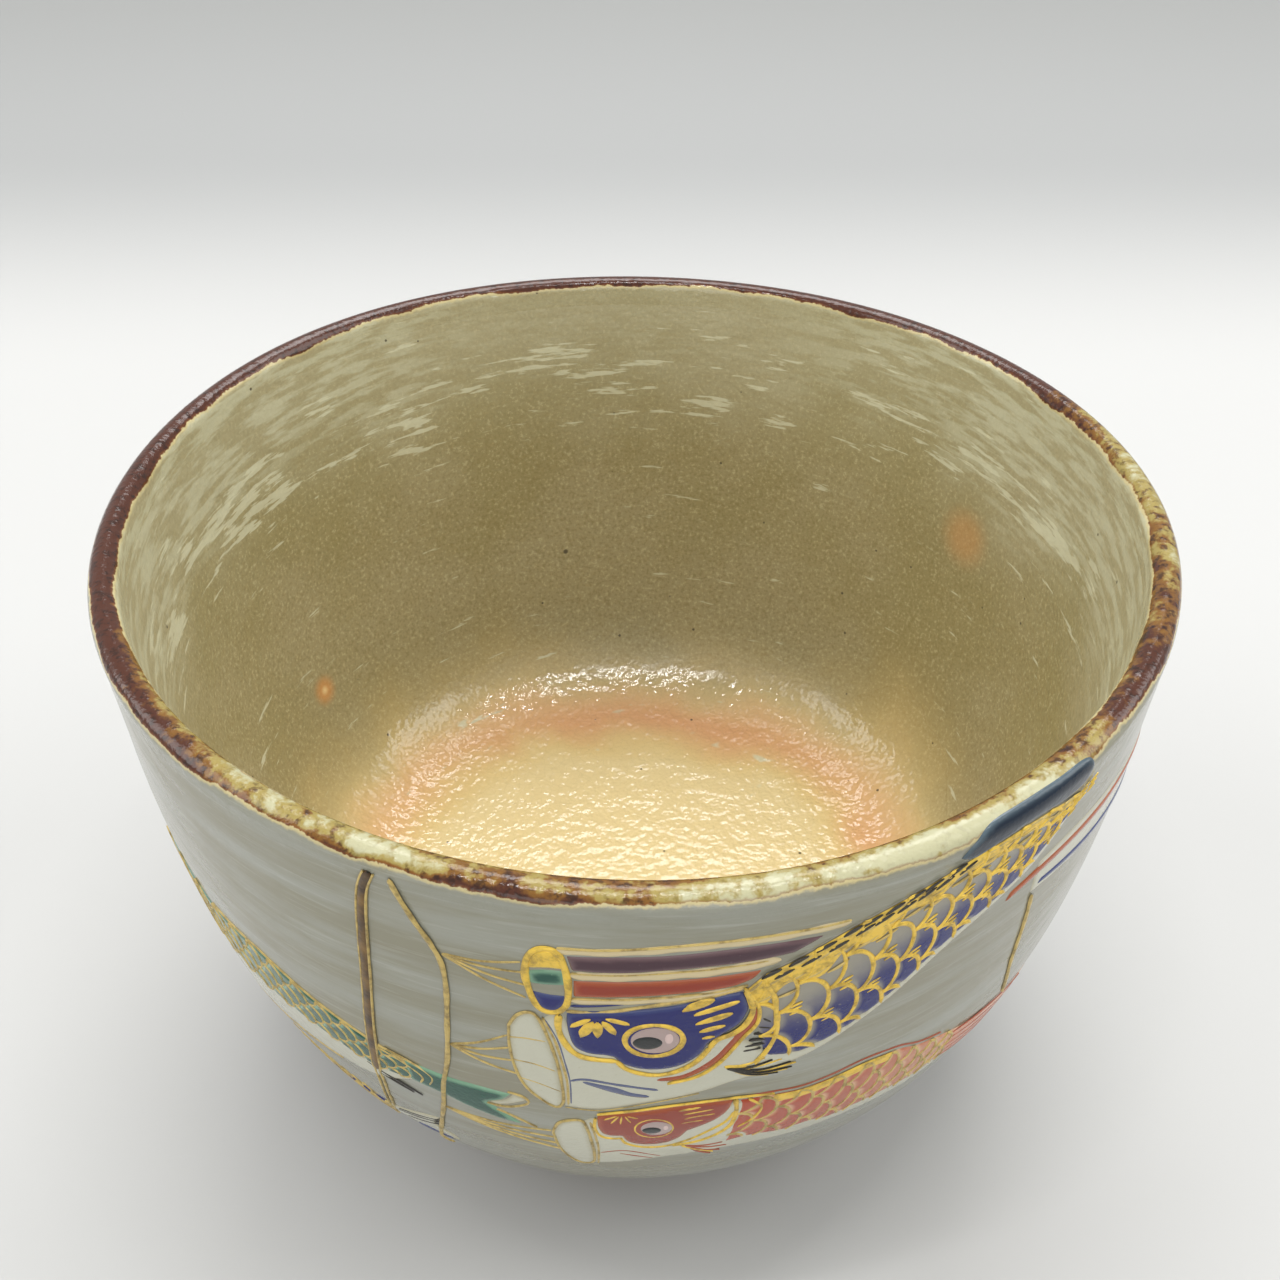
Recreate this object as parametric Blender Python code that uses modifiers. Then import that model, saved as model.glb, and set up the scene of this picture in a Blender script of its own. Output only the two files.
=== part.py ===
"""A hand-shaped tea bowl painted with carp streamers, as one named solid for each piece or coat.

The bowl stands on the plane z = 0 with its axis on Z, and its painted front faces -Y.
It is built up as a potter does it: a thrown clay body, a luted foot ring, the glaze
coats, the iron-brown lip, and then the overglaze enamels, each fired on as a thin solid.
"""

import math

import bpy
import numpy as np

MM = 0.001

# Driving sizes of the pot
RIM_RADIUS = 61.0 * MM  # glazed outside, at the lip
HEIGHT = 80.0 * MM  # table to the top of the lip
LIP_WALL = 3.2 * MM  # glazed wall at the lip, and the width of its half-round top
FOOT_RADIUS = 27.5 * MM
FOOT_HEIGHT = 7.0 * MM
FOOT_WALL = 5.0 * MM
FOOT_FLARE = 1.2 * MM  # how much wider the foot is at the table
FOOT_CHAMFER = 0.8 * MM
FLOOR = 6.5 * MM  # underside of the body to the glazed inside floor
BODY_SHELF = 2.5 * MM  # flat underside that shows outside the foot ring
BARE_CLAY = 7.0 * MM  # clay left unglazed above the foot, along the wall

# Coats and clearances
GLAZE = 0.5 * MM
ENAMEL = 0.4 * MM
GAP = 0.3 * MM  # air kept between neighbouring solids
IRON_INSIDE = 2.8 * MM  # how far the lip's iron coat runs from the top of the lip
IRON_OUTSIDE = 2.8 * MM

# The wall's curve: shares of the rise from the foot to the lip, and of the reach outwards
OUTSIDE_CURVE = (
    (0.0, 0.0), (0.012, 0.24), (0.04, 0.44), (0.11, 0.605), (0.25, 0.755),
    (0.46, 0.893), (0.72, 0.962), (1.0, 1.0),
)
INSIDE_CURVE = (
    (0.0, 0.0), (0.0, 0.2), (0.004, 0.44), (0.012, 0.58), (0.031, 0.67), (0.085, 0.766),
    (0.18, 0.832), (0.334, 0.89), (0.49, 0.931), (0.7, 0.963), (1.0, 1.0),
)

# Shaping by hand: swells of the radius at the lip, and waves along its top, each as
# how many there are round the pot, how large they are, and where one stands in degrees
SWELLS = ((2, 0.0036, -44.0), (3, 0.0017, -55.0), (5, 0.0026, -8.0))
LIP_WAVES = ((0, -0.6 * MM, 0.0), (2, 0.6 * MM, 0.0), (2, 0.2 * MM, -53.0), (3, 0.2 * MM, 0.0))

AROUND = 40  # facets round the pot
FINE = 600  # steps along the wall's curve, where its direction is read

# Colours, as a Principled BSDF takes them
CLAY = (0.42, 0.33, 0.22)
INSIDE_WHITE = (0.45, 0.38, 0.24)
OUTSIDE_WHITE = (0.52, 0.52, 0.47)
IRON = (0.07, 0.03, 0.02)
WHITE = (0.70, 0.72, 0.68)
BLUE = (0.02, 0.03, 0.16)
RED = (0.42, 0.07, 0.02)
GREEN = (0.08, 0.36, 0.28)
PURPLE = (0.10, 0.05, 0.09)
GOLD = (0.75, 0.52, 0.16)
BLACK = (0.02, 0.02, 0.02)
BROWN = (0.14, 0.08, 0.03)


def smooth_curve(points, steps):
    """Points along a Catmull-Rom curve through the given ones, steps to each stretch."""
    pts = np.array([points[0], *points, points[-1]], float)
    found = []
    for before, a, b, after in zip(pts, pts[1:], pts[2:], pts[3:]):
        for t in np.linspace(0, 1, steps, endpoint=False):
            found.append(
                0.5 * (2 * a + (b - before) * t
                       + (2 * before - 5 * a + 4 * b - after) * t**2
                       + (3 * a - before - 3 * b + after) * t**3)
            )
    return np.array([*found, pts[-1]])


def lengths_along(line):
    """The distance along a line at each of its points."""
    steps = np.linalg.norm(np.diff(line, axis=0), axis=1)
    return np.concatenate([[0.0], np.cumsum(steps)])


def glazed_line():
    """The pot's glazed face as (radius, height): inside floor, lip, and down the outside.

    With it comes each point's distance from the top of the lip, negative inside."""
    tip = LIP_WALL / 2
    shoulder = HEIGHT - tip
    inside_base = FOOT_HEIGHT + FLOOR
    inside = [
        (reach * (RIM_RADIUS - LIP_WALL), inside_base + rise * (shoulder - inside_base))
        for rise, reach in INSIDE_CURVE
    ]
    join = FOOT_RADIUS + BODY_SHELF
    outside = [
        (join + reach * (RIM_RADIUS - join), FOOT_HEIGHT + GAP + rise * (shoulder - FOOT_HEIGHT - GAP))
        for rise, reach in OUTSIDE_CURVE
    ]
    turns = np.linspace(math.pi, 0, 24)[1:-1]
    lip = [(RIM_RADIUS - tip + tip * math.cos(a), shoulder + tip * math.sin(a)) for a in turns]
    steps = 40
    line = np.concatenate([smooth_curve(inside, steps), lip, smooth_curve(outside[::-1], steps)])
    along = lengths_along(line)
    top = along[np.argmax(line[:, 1])]
    return line, along - top


LINE, DROP = glazed_line()
INSIDE_DROPS = np.linspace(DROP[0], -IRON_INSIDE - GAP, 15)
LIP_DROPS = np.linspace(-IRON_INSIDE, IRON_OUTSIDE, 7)
OUTSIDE_DROPS = np.linspace(IRON_OUTSIDE + GAP, DROP[-1] - BARE_CLAY, 13)


def glazed_points(drops, sink=0.0):
    """Points of the glazed face at the given drops, sunk into the wall by sink."""
    step = (DROP[-1] - DROP[0]) / FINE
    at = np.array([np.interp(drops, DROP, LINE[:, k]) for k in (0, 1)]).T
    ahead = np.array([np.interp(drops + step, DROP, LINE[:, k]) for k in (0, 1)]).T
    behind = np.array([np.interp(drops - step, DROP, LINE[:, k]) for k in (0, 1)]).T
    heading = ahead - behind
    heading /= np.linalg.norm(heading, axis=1)[:, None]
    outward = np.stack([-heading[:, 1], heading[:, 0]], -1)
    points = at - outward * sink
    points[:, 0] = np.maximum(points[:, 0], 0.0)
    return points


def waves(kinds, angle):
    return sum(size * np.cos(count * (angle - math.radians(turn))) for count, size, turn in kinds)


def hand_shaped(points):
    """Points moved as the potter's hands moved the wall: most at the lip, nothing at the foot."""
    x, y, z = points.T
    angle = np.arctan2(y, x)
    share = np.clip((z - FOOT_HEIGHT) / (HEIGHT - FOOT_HEIGHT), 0, None)
    reach = np.hypot(x, y) / RIM_RADIUS
    scale = 1 + share * waves(SWELLS, angle)
    lift = share**12 * reach**2 * waves(LIP_WAVES, angle)
    return np.stack([x * scale, y * scale, z + lift], -1)


def shape_by_hand(mesh):
    points = np.empty(len(mesh.vertices) * 3)
    mesh.vertices.foreach_get("co", points)
    mesh.vertices.foreach_set("co", hand_shaped(points.reshape(-1, 3)).ravel())
    mesh.update()


def wall_point(arc, drop, lift):
    """A point over the outside wall.

    arc runs round the wall from the front, drop down it from the top of the lip, and lift
    stands out from the glaze."""
    radius, height = glazed_points(np.array([drop]), -lift)[0]
    angle = arc / RIM_RADIUS
    return radius * math.sin(angle), -radius * math.cos(angle), height


def material(name, colour, roughness=0.25, metallic=0.0):
    made = bpy.data.materials.new(name)
    made.use_nodes = True
    shader = made.node_tree.nodes["Principled BSDF"]
    shader.inputs["Base Color"].default_value = (*colour, 1.0)
    shader.inputs["Roughness"].default_value = roughness
    shader.inputs["Metallic"].default_value = metallic
    made.diffuse_color = (*colour, 1.0)
    return made


def clear_scene():
    for obj in list(bpy.data.objects):
        bpy.data.objects.remove(obj)


def bowl_collection():
    found = bpy.data.collections.new("carp_streamer_tea_bowl")
    bpy.context.scene.collection.children.link(found)
    return found


def finished(obj, name, finish, smooth_angle=40.0):
    """Bakes an object's modifiers into its mesh and files it in the bowl's collection."""
    graph = bpy.context.evaluated_depsgraph_get()
    mesh = bpy.data.meshes.new_from_object(obj.evaluated_get(graph))
    bpy.data.objects.remove(obj)
    mesh.name = name
    mesh.materials.clear()
    mesh.materials.append(finish)
    mesh.shade_smooth()
    mesh.set_sharp_from_angle(angle=math.radians(smooth_angle))
    done = bpy.data.objects.new(name, mesh)
    BOWL.objects.link(done)
    return done


def turned(name, profile, finish, closed):
    """A solid turned on the wheel from a profile of (radius, height) points."""
    mesh = bpy.data.meshes.new(name)
    count = len(profile)
    edges = [(i, i + 1) for i in range(count - 1)]
    if closed:
        edges.append((count - 1, 0))
    mesh.from_pydata([(r, 0.0, z) for r, z in profile], edges, [])
    obj = bpy.data.objects.new(name, mesh)
    BOWL.objects.link(obj)
    wheel = obj.modifiers.new("Wheel", "SCREW")
    wheel.axis = "Z"
    wheel.angle = 2 * math.pi
    wheel.steps = wheel.render_steps = AROUND
    wheel.use_merge_vertices = True
    wheel.merge_threshold = 0.00001
    done = finished(obj, name, finish)
    shape_by_hand(done.data)
    return done


def make_coat(name, drops, finish):
    """A glaze coat over a stretch of the wall, as a closed profile turned on the wheel."""
    face = glazed_points(drops)
    back = glazed_points(drops, GLAZE)
    turned(name, [*face, *back[::-1]], finish, closed=face[0][0] > 0)


def make_clay_body(clay):
    """The thrown wall and floor, whose facets lie parallel to those of the glaze."""
    sink = GLAZE + GAP
    underside = FOOT_HEIGHT + GAP
    bare = np.linspace(OUTSIDE_DROPS[-1], DROP[-1], 4)[1:]
    skin = glazed_points(np.concatenate([INSIDE_DROPS, LIP_DROPS, OUTSIDE_DROPS, bare]), sink)
    skin = skin[skin[:, 1] > underside]
    edge = FOOT_RADIUS + BODY_SHELF - sink
    turned("clay_body", [*skin, (edge, underside), (0.0, underside)], clay, closed=False)


def make_foot_ring(clay):
    """The foot, a ring luted under the body and left bare of glaze."""
    table = FOOT_RADIUS + FOOT_FLARE
    bore = FOOT_RADIUS - FOOT_WALL
    profile = (
        (bore, FOOT_CHAMFER),
        (bore, FOOT_HEIGHT),
        (FOOT_RADIUS, FOOT_HEIGHT),
        (FOOT_RADIUS, FOOT_HEIGHT / 2),
        (table, FOOT_CHAMFER),
        (table - FOOT_CHAMFER, 0.0),
        (bore + FOOT_CHAMFER, 0.0),
    )
    turned("foot_ring", profile, clay, closed=True)


def patch(name, place, columns, rows, finish, level=1):
    """A thin enamel solid over the wall: place(u, v) gives arc and drop for u and v from 0 to 1."""
    bpy.ops.mesh.primitive_grid_add(x_subdivisions=columns, y_subdivisions=rows, size=1.0)
    return fired_on(name, place, finish, level)


def disc(name, place, finish, level=1, corners=16):
    """The same for a round patch: place(x, y) takes a point of the unit circle."""
    bpy.ops.mesh.primitive_circle_add(vertices=corners, radius=1.0, fill_type="TRIFAN")
    return fired_on(name, lambda u, v: place(u - 0.5, v - 0.5), finish, level)


def fired_on(name, place, finish, level):
    """Wraps the active flat mesh over the wall and gives it the enamel's thickness."""
    obj = bpy.context.object
    lift = GAP + (level - 1) * (ENAMEL + GAP)
    for vertex in obj.data.vertices:
        arc, drop = place(vertex.co.x + 0.5, vertex.co.y + 0.5)
        vertex.co = wall_point(arc, drop, lift)
    shape_by_hand(obj.data)
    body = obj.modifiers.new("Body", "SOLIDIFY")
    body.thickness = ENAMEL
    body.offset = 1.0
    return finished(obj, name, finish)


class Spine:
    """The middle line of a painted streamer: points of (arc, drop, half girth) in millimetres."""

    def __init__(self, points):
        self.line = smooth_curve(np.array(points) * MM, 12)
        self.along = lengths_along(self.line[:, :2])
        self.length = self.along[-1]

    def at(self, distance, across):
        """The arc and drop at a distance from the mouth, across from -1 (belly) to 1 (back)."""
        arc, drop, girth = (np.interp(distance, self.along, self.line[:, k]) for k in range(3))
        step = self.length / 100
        ahead = [np.interp(distance + step, self.along, self.line[:, k]) for k in (0, 1)]
        behind = [np.interp(distance - step, self.along, self.line[:, k]) for k in (0, 1)]
        run, fall = ahead[0] - behind[0], ahead[1] - behind[1]
        size = math.hypot(run, fall)
        return arc + across * girth * fall / size, drop - across * girth * run / size


def make_carp(name, spine, mouth, head, tail, finishes):
    """A painted carp streamer: mouth hoop, head, scaled body, forked tail and eye.

    The spine starts at the hoop's far side. mouth is the hoop's half width, and head and
    tail are lengths, all in millimetres. A carp that runs out at the lip has no tail."""
    mouth, head, tail = mouth * MM, head * MM, tail * MM
    head_stop = 2 * mouth + head
    tail_start = spine.length - tail
    seam = GAP

    def hoop(x, y):
        return spine.at((1 + x) * mouth, y)

    def past_hoop(u, v):
        """The head's first edge follows the hoop's round side, corner for corner."""
        turn = (v - 0.5) * math.pi
        start = (1 + math.cos(turn)) * mouth + GAP
        return spine.at(start + u * (head_stop - seam - start), math.sin(turn))

    def body(u, v):
        start, stop = head_stop + seam, tail_start - seam
        return spine.at(start + u * (stop - start), 2 * v - 1)

    def fork(u, v):
        across = 2 * v - 1
        reach = 0.55 + 0.45 * abs(across)
        return spine.at(tail_start + seam + u * reach * (tail - seam), across)

    def pupil(x, y):
        arc, drop = spine.at(2 * mouth + 0.47 * head, 0.3)
        return arc + x * 0.11 * head, drop - y * 0.09 * head

    disc(name + "_mouth", hoop, finishes["mouth"])
    patch(name + "_head", past_hoop, 5, 8, finishes["head"])
    patch(name + "_scales", body, 11, 4, finishes["scales"])
    if tail:
        patch(name + "_tail", fork, 4, 4, finishes["scales"])
    disc(name + "_eye", pupil, finishes["eye"], level=2, corners=12)


def make_line(name, points, width, finish, level=2, columns=10):
    """A brushed line, such as a pole or a cord, through (arc, drop) points in millimetres."""
    spine = Spine([(arc, drop, width / 2) for arc, drop in points])
    patch(name, lambda u, v: spine.at(u * spine.length, 2 * v - 1), columns, 1, finish, level)


def make_streamer(finishes):
    """The five-colour streamer: its hoop, the stripes that show, and its two loose tails."""
    spine = Spine([(-9.6, 13.6, 5.1), (0, 12.0, 4.7), (8, 11.2, 4.2), (17, 11.0, 3.9)])
    mouth = 2.15 * MM
    disc("streamer_mouth", lambda x, y: spine.at((1 + x) * mouth, y), finishes["gold"])

    # Each stripe runs between two lines along the streamer, and stops at the carp's back
    stripes = (
        ("purple", 0.12, 0.94, 19.5, 24.0),
        ("red", -0.77, 0.04, 13.0, 18.5),
    )
    for colour, low, high, low_end, high_end in stripes:
        def place(u, v):
            start = 2 * mouth + GAP
            stop = (low_end + v * (high_end - low_end)) * MM
            return spine.at(start + u * (stop - start), low + v * (high - low))
        patch("streamer_" + colour, place, 6, 1, finishes[colour])

    tails = (
        ("red", [(40.5, 15.2), (44, 14.4), (52, 13.4), (62, 13.6), (70, 15.0)]),
        ("navy", [(45, 17.7), (50, 17.8), (57, 18.4), (64, 19.4), (70, 21.0)]),
    )
    for colour, points in tails:
        make_line(f"streamer_{colour}_tail", points, 1.8, finishes[colour], level=1)


clear_scene()
BOWL = bowl_collection()

raw_clay = material("raw clay", CLAY, 0.8)
make_clay_body(raw_clay)
make_foot_ring(raw_clay)
make_coat("inside_glaze", INSIDE_DROPS, material("inside glaze", INSIDE_WHITE, 0.2))
make_coat("iron_lip", LIP_DROPS, material("iron glaze", IRON, 0.25))
make_coat("outside_glaze", OUTSIDE_DROPS, material("outside glaze", OUTSIDE_WHITE, 0.15))

white = material("white enamel", WHITE)
blue = material("blue enamel", BLUE)
red = material("red enamel", RED)
green = material("green enamel", GREEN)
purple = material("purple enamel", PURPLE)
gold = material("gold", GOLD, 0.35, 0.9)
black = material("black enamel", BLACK)
brown = material("brown line", BROWN, 0.4)

make_streamer({"gold": gold, "purple": purple, "red": red, "navy": blue})
make_carp(
    "blue_carp",
    Spine([(-12.4, 28.4, 8.7), (-6, 27.3, 8.8), (1, 25.1, 8.4), (9, 23.6, 8.7), (13.2, 21.2, 9.8),
           (17.5, 19.0, 10.6), (24, 16.9, 10.2), (30, 13.6, 7.6), (35, 10.0, 5.4), (40, 7.6, 4.0),
           (44, 6.2, 2.7), (47, 4.8, 1.0)]),
    2.7, 17.0, 0.0,
    {"mouth": white, "head": blue, "scales": blue, "eye": black},
)
make_line("blue_carp_back_fin", [(30.5, 2.1), (38, 2.0), (46.5, 2.0)], 1.4, blue, level=1)
make_carp(
    "red_carp",
    Spine([(-8.9, 46.6, 8.1), (0, 43.9, 7.8), (11, 43.1, 7.7), (22, 42.5, 7.4), (33, 43.8, 6.6),
           (43, 47.4, 4.2), (50, 49.8, 2.8), (58, 51.6, 4.6)]),
    2.1, 14.0, 7.0,
    {"mouth": white, "head": red, "scales": red, "eye": black},
)
make_carp(
    "green_carp",
    Spine([(-92, 35, 8.6), (-78, 37, 9.4), (-64, 38, 9.0), (-54, 38.5, 7.8), (-45, 38.0, 7.6),
           (-38, 38.0, 6.4), (-31, 37.8, 4.4), (-25, 37.6, 2.8), (-19, 37.6, 2.4), (-11.5, 38.8, 4.2)]),
    2.6, 18.0, 7.0,
    {"mouth": white, "head": green, "scales": green, "eye": black},
)
make_carp(
    "navy_carp",
    Spine([(-92, 58, 6.4), (-78, 60.5, 6.6), (-62, 61.5, 6.4), (-48, 62, 5.6), (-38, 60, 4.0),
           (-30, 56, 2.6), (-23.5, 52.5, 4.2)]),
    2.1, 14.0, 7.0,
    {"mouth": white, "head": blue, "scales": blue, "eye": black},
)
make_line("front_pole", [(-23.7, 3.9), (-24.9, 9.5), (-26.0, 18.4), (-27.6, 29.7), (-29.1, 38.8),
                         (-30.2, 46.2)], 1.3, brown)
make_line("front_cord", [(-21.6, 3.9), (-20.1, 7.4), (-18.1, 12.3), (-17.6, 16.6), (-17.9, 22.5),
                         (-19.4, 32.4), (-21.5, 42.6), (-25.3, 56.0)], 0.7, gold, columns=14)
make_line("right_cord", [(44.2, 20.0), (45.9, 27.3), (46.0, 33.8), (48.9, 41.9)], 0.7, gold)
make_line("left_pole", [(-104, 3.9), (-104.6, 20), (-105.2, 40), (-104.6, 58)], 1.3, brown)
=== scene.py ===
import math

import bpy
import numpy as np
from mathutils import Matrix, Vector
from mathutils.geometry import delaunay_2d_cdt


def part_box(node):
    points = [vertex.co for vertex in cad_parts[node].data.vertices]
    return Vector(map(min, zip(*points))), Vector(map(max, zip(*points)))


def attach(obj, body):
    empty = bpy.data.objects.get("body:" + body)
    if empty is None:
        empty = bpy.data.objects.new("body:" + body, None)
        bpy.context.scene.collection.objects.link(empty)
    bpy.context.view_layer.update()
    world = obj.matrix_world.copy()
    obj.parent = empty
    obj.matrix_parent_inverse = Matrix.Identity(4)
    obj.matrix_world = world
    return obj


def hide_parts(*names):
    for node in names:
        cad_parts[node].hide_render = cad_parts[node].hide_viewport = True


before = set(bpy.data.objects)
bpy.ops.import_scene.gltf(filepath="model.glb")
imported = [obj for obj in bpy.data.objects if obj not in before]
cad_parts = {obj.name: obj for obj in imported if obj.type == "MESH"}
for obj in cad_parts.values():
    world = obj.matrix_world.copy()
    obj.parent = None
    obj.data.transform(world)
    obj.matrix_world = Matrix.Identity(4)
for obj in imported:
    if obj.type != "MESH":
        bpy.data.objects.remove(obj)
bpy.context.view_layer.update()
bpy.ops.object.select_all(action="DESELECT")

# ---- Camera: it looks down into the bowl from above its painted front ----------------------
lens = bpy.data.cameras.new("camera")
lens.sensor_width = 36.0
lens.lens = 39.375
camera = bpy.data.objects.new("camera", lens)
LOOKS_DOWN = math.radians(39.09)
LOOKS_LEFT = math.radians(0.17)
camera.location = (0.0011, -0.1372, 0.1688)
camera.rotation_euler = (math.pi / 2 - LOOKS_DOWN, 0.0, LOOKS_LEFT)
bpy.context.scene.collection.objects.link(camera)
bpy.context.scene.camera = camera

# ---- Clay body -----------------------------------------------------------------------------
# Buff stoneware, thrown on the wheel as one wall and pushed a little out of round by hand.
# The wall is drawn as one line, up from the middle of the inside, over the lip and down the
# outside, and every coat and brush stroke is laid over it by its drop from the lip's top.
MM = 0.001
HEIGHT = 80.0 * MM
RIM_RADIUS = 61.0 * MM
LIP_WALL = 3.2 * MM
FOOT_RADIUS = 27.5 * MM
BODY_SHELF = 2.5 * MM
GAP = 0.3 * MM
BARE_CLAY = 7.0 * MM
OUTSIDE_CURVE = (
    (0.0, 0.0), (0.012, 0.24), (0.04, 0.44), (0.11, 0.605), (0.25, 0.755),
    (0.46, 0.893), (0.72, 0.962), (1.0, 1.0),
)
INSIDE_CURVE = (
    (0.0, 0.0), (0.0, 0.2), (0.004, 0.44), (0.012, 0.58), (0.031, 0.67), (0.085, 0.766),
    (0.18, 0.832), (0.334, 0.89), (0.49, 0.931), (0.7, 0.963), (1.0, 1.0),
)
# Waves round the bowl: how many, how large, and the degrees they are turned.
SWELLS = ((2, 0.0036, -44.0), (3, 0.0017, -55.0), (5, 0.0026, -8.0))
LIP_WAVES = ((0, -0.6 * MM, 0.0), (2, 0.6 * MM, 0.0), (2, 0.2 * MM, -53.0), (3, 0.2 * MM, 0.0))
# Shallow dents: how many round, their slope down the wall, and their depth in millimetres.
DENTS = ((5, 55.0, 0.10), (8, -95.0, 0.09), (13, 140.0, 0.05), (3, -210.0, 0.05))
FOOT_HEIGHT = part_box("foot_ring")[1][2]
INSIDE_FLOOR = 13.5 * MM
AROUND = 256
MERGED = 0.004 * MM  # points closer than this are one


def smooth_curve(points, steps):
    """Points along a Catmull-Rom curve through the given ones, steps to each stretch."""
    pts = np.array([points[0], *points, points[-1]], float)
    t = np.linspace(0, 1, steps, endpoint=False)[:, None]
    found = [
        0.5 * (2 * a + (b - before) * t + (2 * before - 5 * a + 4 * b - after) * t**2
               + (3 * a - before - 3 * b + after) * t**3)
        for before, a, b, after in zip(pts, pts[1:], pts[2:], pts[3:])
    ]
    return np.concatenate([*found, pts[-1:]])


def lengths_along(line):
    return np.concatenate([[0.0], np.cumsum(np.linalg.norm(np.diff(line, axis=0), axis=1))])


def wall_line():
    """The wall as (radius, height) points, and each point's drop from the top of the lip."""
    tip = LIP_WALL / 2
    shoulder = HEIGHT - tip
    join = FOOT_RADIUS + BODY_SHELF
    base = FOOT_HEIGHT + GAP
    inside = [(reach * (RIM_RADIUS - LIP_WALL), INSIDE_FLOOR + rise * (shoulder - INSIDE_FLOOR))
              for rise, reach in INSIDE_CURVE]
    outside = [(join + reach * (RIM_RADIUS - join), base + rise * (shoulder - base))
               for rise, reach in OUTSIDE_CURVE]
    turns = np.linspace(math.pi, 0, 24)[1:-1]
    lip = [(RIM_RADIUS - tip + tip * math.cos(a), shoulder + tip * math.sin(a)) for a in turns]
    line = np.concatenate([smooth_curve(inside, 40), lip, smooth_curve(outside[::-1], 40)])
    drops = lengths_along(line)
    return line, drops - drops[np.argmax(line[:, 1])]


LINE, DROPS = wall_line()


def waves(kinds, angle):
    return sum(size * np.cos(count * (angle - math.radians(turn))) for count, size, turn in kinds)


def way_round(u):
    """The arc round the wall for u from 0 to 1: it starts at the back, with the front halfway."""
    return (u - 0.5) * 2 * math.pi * RIM_RADIUS


def on_wall(arc, drop, lift):
    """Points over the wall, in metres: arc runs round from the front towards +X, drop down
    from the lip's top (negative inside), and lift stands out from the glaze."""
    arc, drop, lift = np.broadcast_arrays(arc, drop, lift)
    step = 0.15 * MM
    at, ahead, behind = (
        np.stack([np.interp(drop + d, DROPS, LINE[:, k]) for k in (0, 1)], -1)
        for d in (0.0, step, -step)
    )
    heading = ahead - behind
    heading = heading / np.linalg.norm(heading, axis=-1, keepdims=True)
    turn = arc / RIM_RADIUS - math.pi / 2
    share = np.clip((at[..., 1] - FOOT_HEIGHT) / (HEIGHT - FOOT_HEIGHT), 0, None)
    dents = sum(size * MM * np.cos(count * turn + per_metre * drop)
                for count, per_metre, size in DENTS)
    stand = lift + dents * np.clip((drop - 4 * MM) / (12 * MM), 0, 1) * np.clip(share * 4, 0, 1)
    radius = np.maximum(at[..., 0] - heading[..., 1] * stand, 0.0)
    height = at[..., 1] + heading[..., 0] * stand
    height = height + share**12 * (radius / RIM_RADIUS) ** 2 * waves(LIP_WAVES, turn)
    radius = radius * (1 + share * waves(SWELLS, turn))
    return np.stack([radius * np.cos(turn), radius * np.sin(turn), height], -1)


def sheet(name, columns, rows, place, marks=None):
    """A grid laid over the wall: place(u, v) gives its points, for u and v from 0 to 1, and
    marks gives the functions of its named attributes. Its meeting edges are merged."""
    bpy.ops.mesh.primitive_grid_add(x_subdivisions=columns, y_subdivisions=rows, size=1.0)
    made = bpy.context.object
    made.name = made.data.name = name
    flat = np.empty(len(made.data.vertices) * 3)
    made.data.vertices.foreach_get("co", flat)
    u, v = flat.reshape(-1, 3)[:, :2].T + 0.5
    made.data.vertices.foreach_set("co", place(u, v).ravel())
    for mark, value in (marks or {}).items():
        attribute = made.data.attributes.new(mark, "FLOAT", "POINT")
        attribute.data.foreach_set("value", value(u, v).astype(np.float32))
    made.data.update()
    bpy.ops.object.mode_set(mode="EDIT")
    bpy.ops.mesh.select_all(action="SELECT")
    bpy.ops.mesh.flip_normals()
    bpy.ops.mesh.remove_doubles(threshold=MERGED)
    bpy.ops.object.mode_set(mode="OBJECT")
    bpy.ops.object.shade_smooth()
    made.select_set(False)
    return made


def add_to_bowl(piece, material, slot, node=None):
    """Gives a piece its material; slot is not used. It rides on the bowl, and may replace a node."""
    piece.data.materials.append(material)
    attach(piece, "root")
    if node:
        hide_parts(node)


def put(kind, inputs=None, tree=None, **settings):
    """A new shader node, with its options set and its inputs given values or sockets. It goes
    into the node tree of those sockets, unless another tree is given."""
    inputs = inputs or {}
    sockets = [value for value in inputs.values() if isinstance(value, bpy.types.NodeSocket)]
    tree = tree or sockets[0].id_data
    node = tree.nodes.new(kind)
    for key, value in settings.items():
        setattr(node, key, value)
    for key, value in inputs.items():
        if value in sockets:
            tree.links.new(value, node.inputs[key])
        else:
            node.inputs[key].default_value = value
    return node


def start_material(name, roughness):
    """A new material, its shader and its Object coordinates."""
    made = bpy.data.materials.new(name)
    made.use_nodes = True
    shader = made.node_tree.nodes["Principled BSDF"]
    shader.inputs["Roughness"].default_value = roughness
    return made, shader, put("ShaderNodeTexCoord", tree=made.node_tree).outputs["Object"]


def feed(shader, name, value):
    """Joins a socket to one of the shader's inputs."""
    shader.id_data.links.new(value, shader.inputs[name])


def marked(where, mark):
    """The value of a named attribute of the mesh."""
    return put("ShaderNodeAttribute", tree=where.id_data, attribute_name=mark).outputs["Fac"]


def noise(where, size, detail=2.0, rough=0.5, stretch=(1, 1, 1)):
    """Noise of about this size in metres, drawn out along each axis by its stretch."""
    drawn = put("ShaderNodeMapping", {"Vector": where, "Scale": [1 / s for s in stretch]})
    return put("ShaderNodeTexNoise", {"Vector": drawn.outputs[0], "Scale": 1 / size,
                                      "Detail": detail, "Roughness": rough}).outputs[0]


def ramp(value, low, high, start=0.0, stop=1.0):
    """A smooth change from start to stop as the value goes from low to high."""
    return put("ShaderNodeMapRange",
               {"Value": value, "From Min": low, "From Max": high, "To Min": start, "To Max": stop},
               interpolation_type="SMOOTHSTEP").outputs[0]


def maths(operation, a, b):
    return put("ShaderNodeMath", {0: a, 1: b}, operation=operation).outputs[0]


def plus(a, b):
    return maths("ADD", a, b)


def times(a, b):
    return maths("MULTIPLY", a, b)


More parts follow.
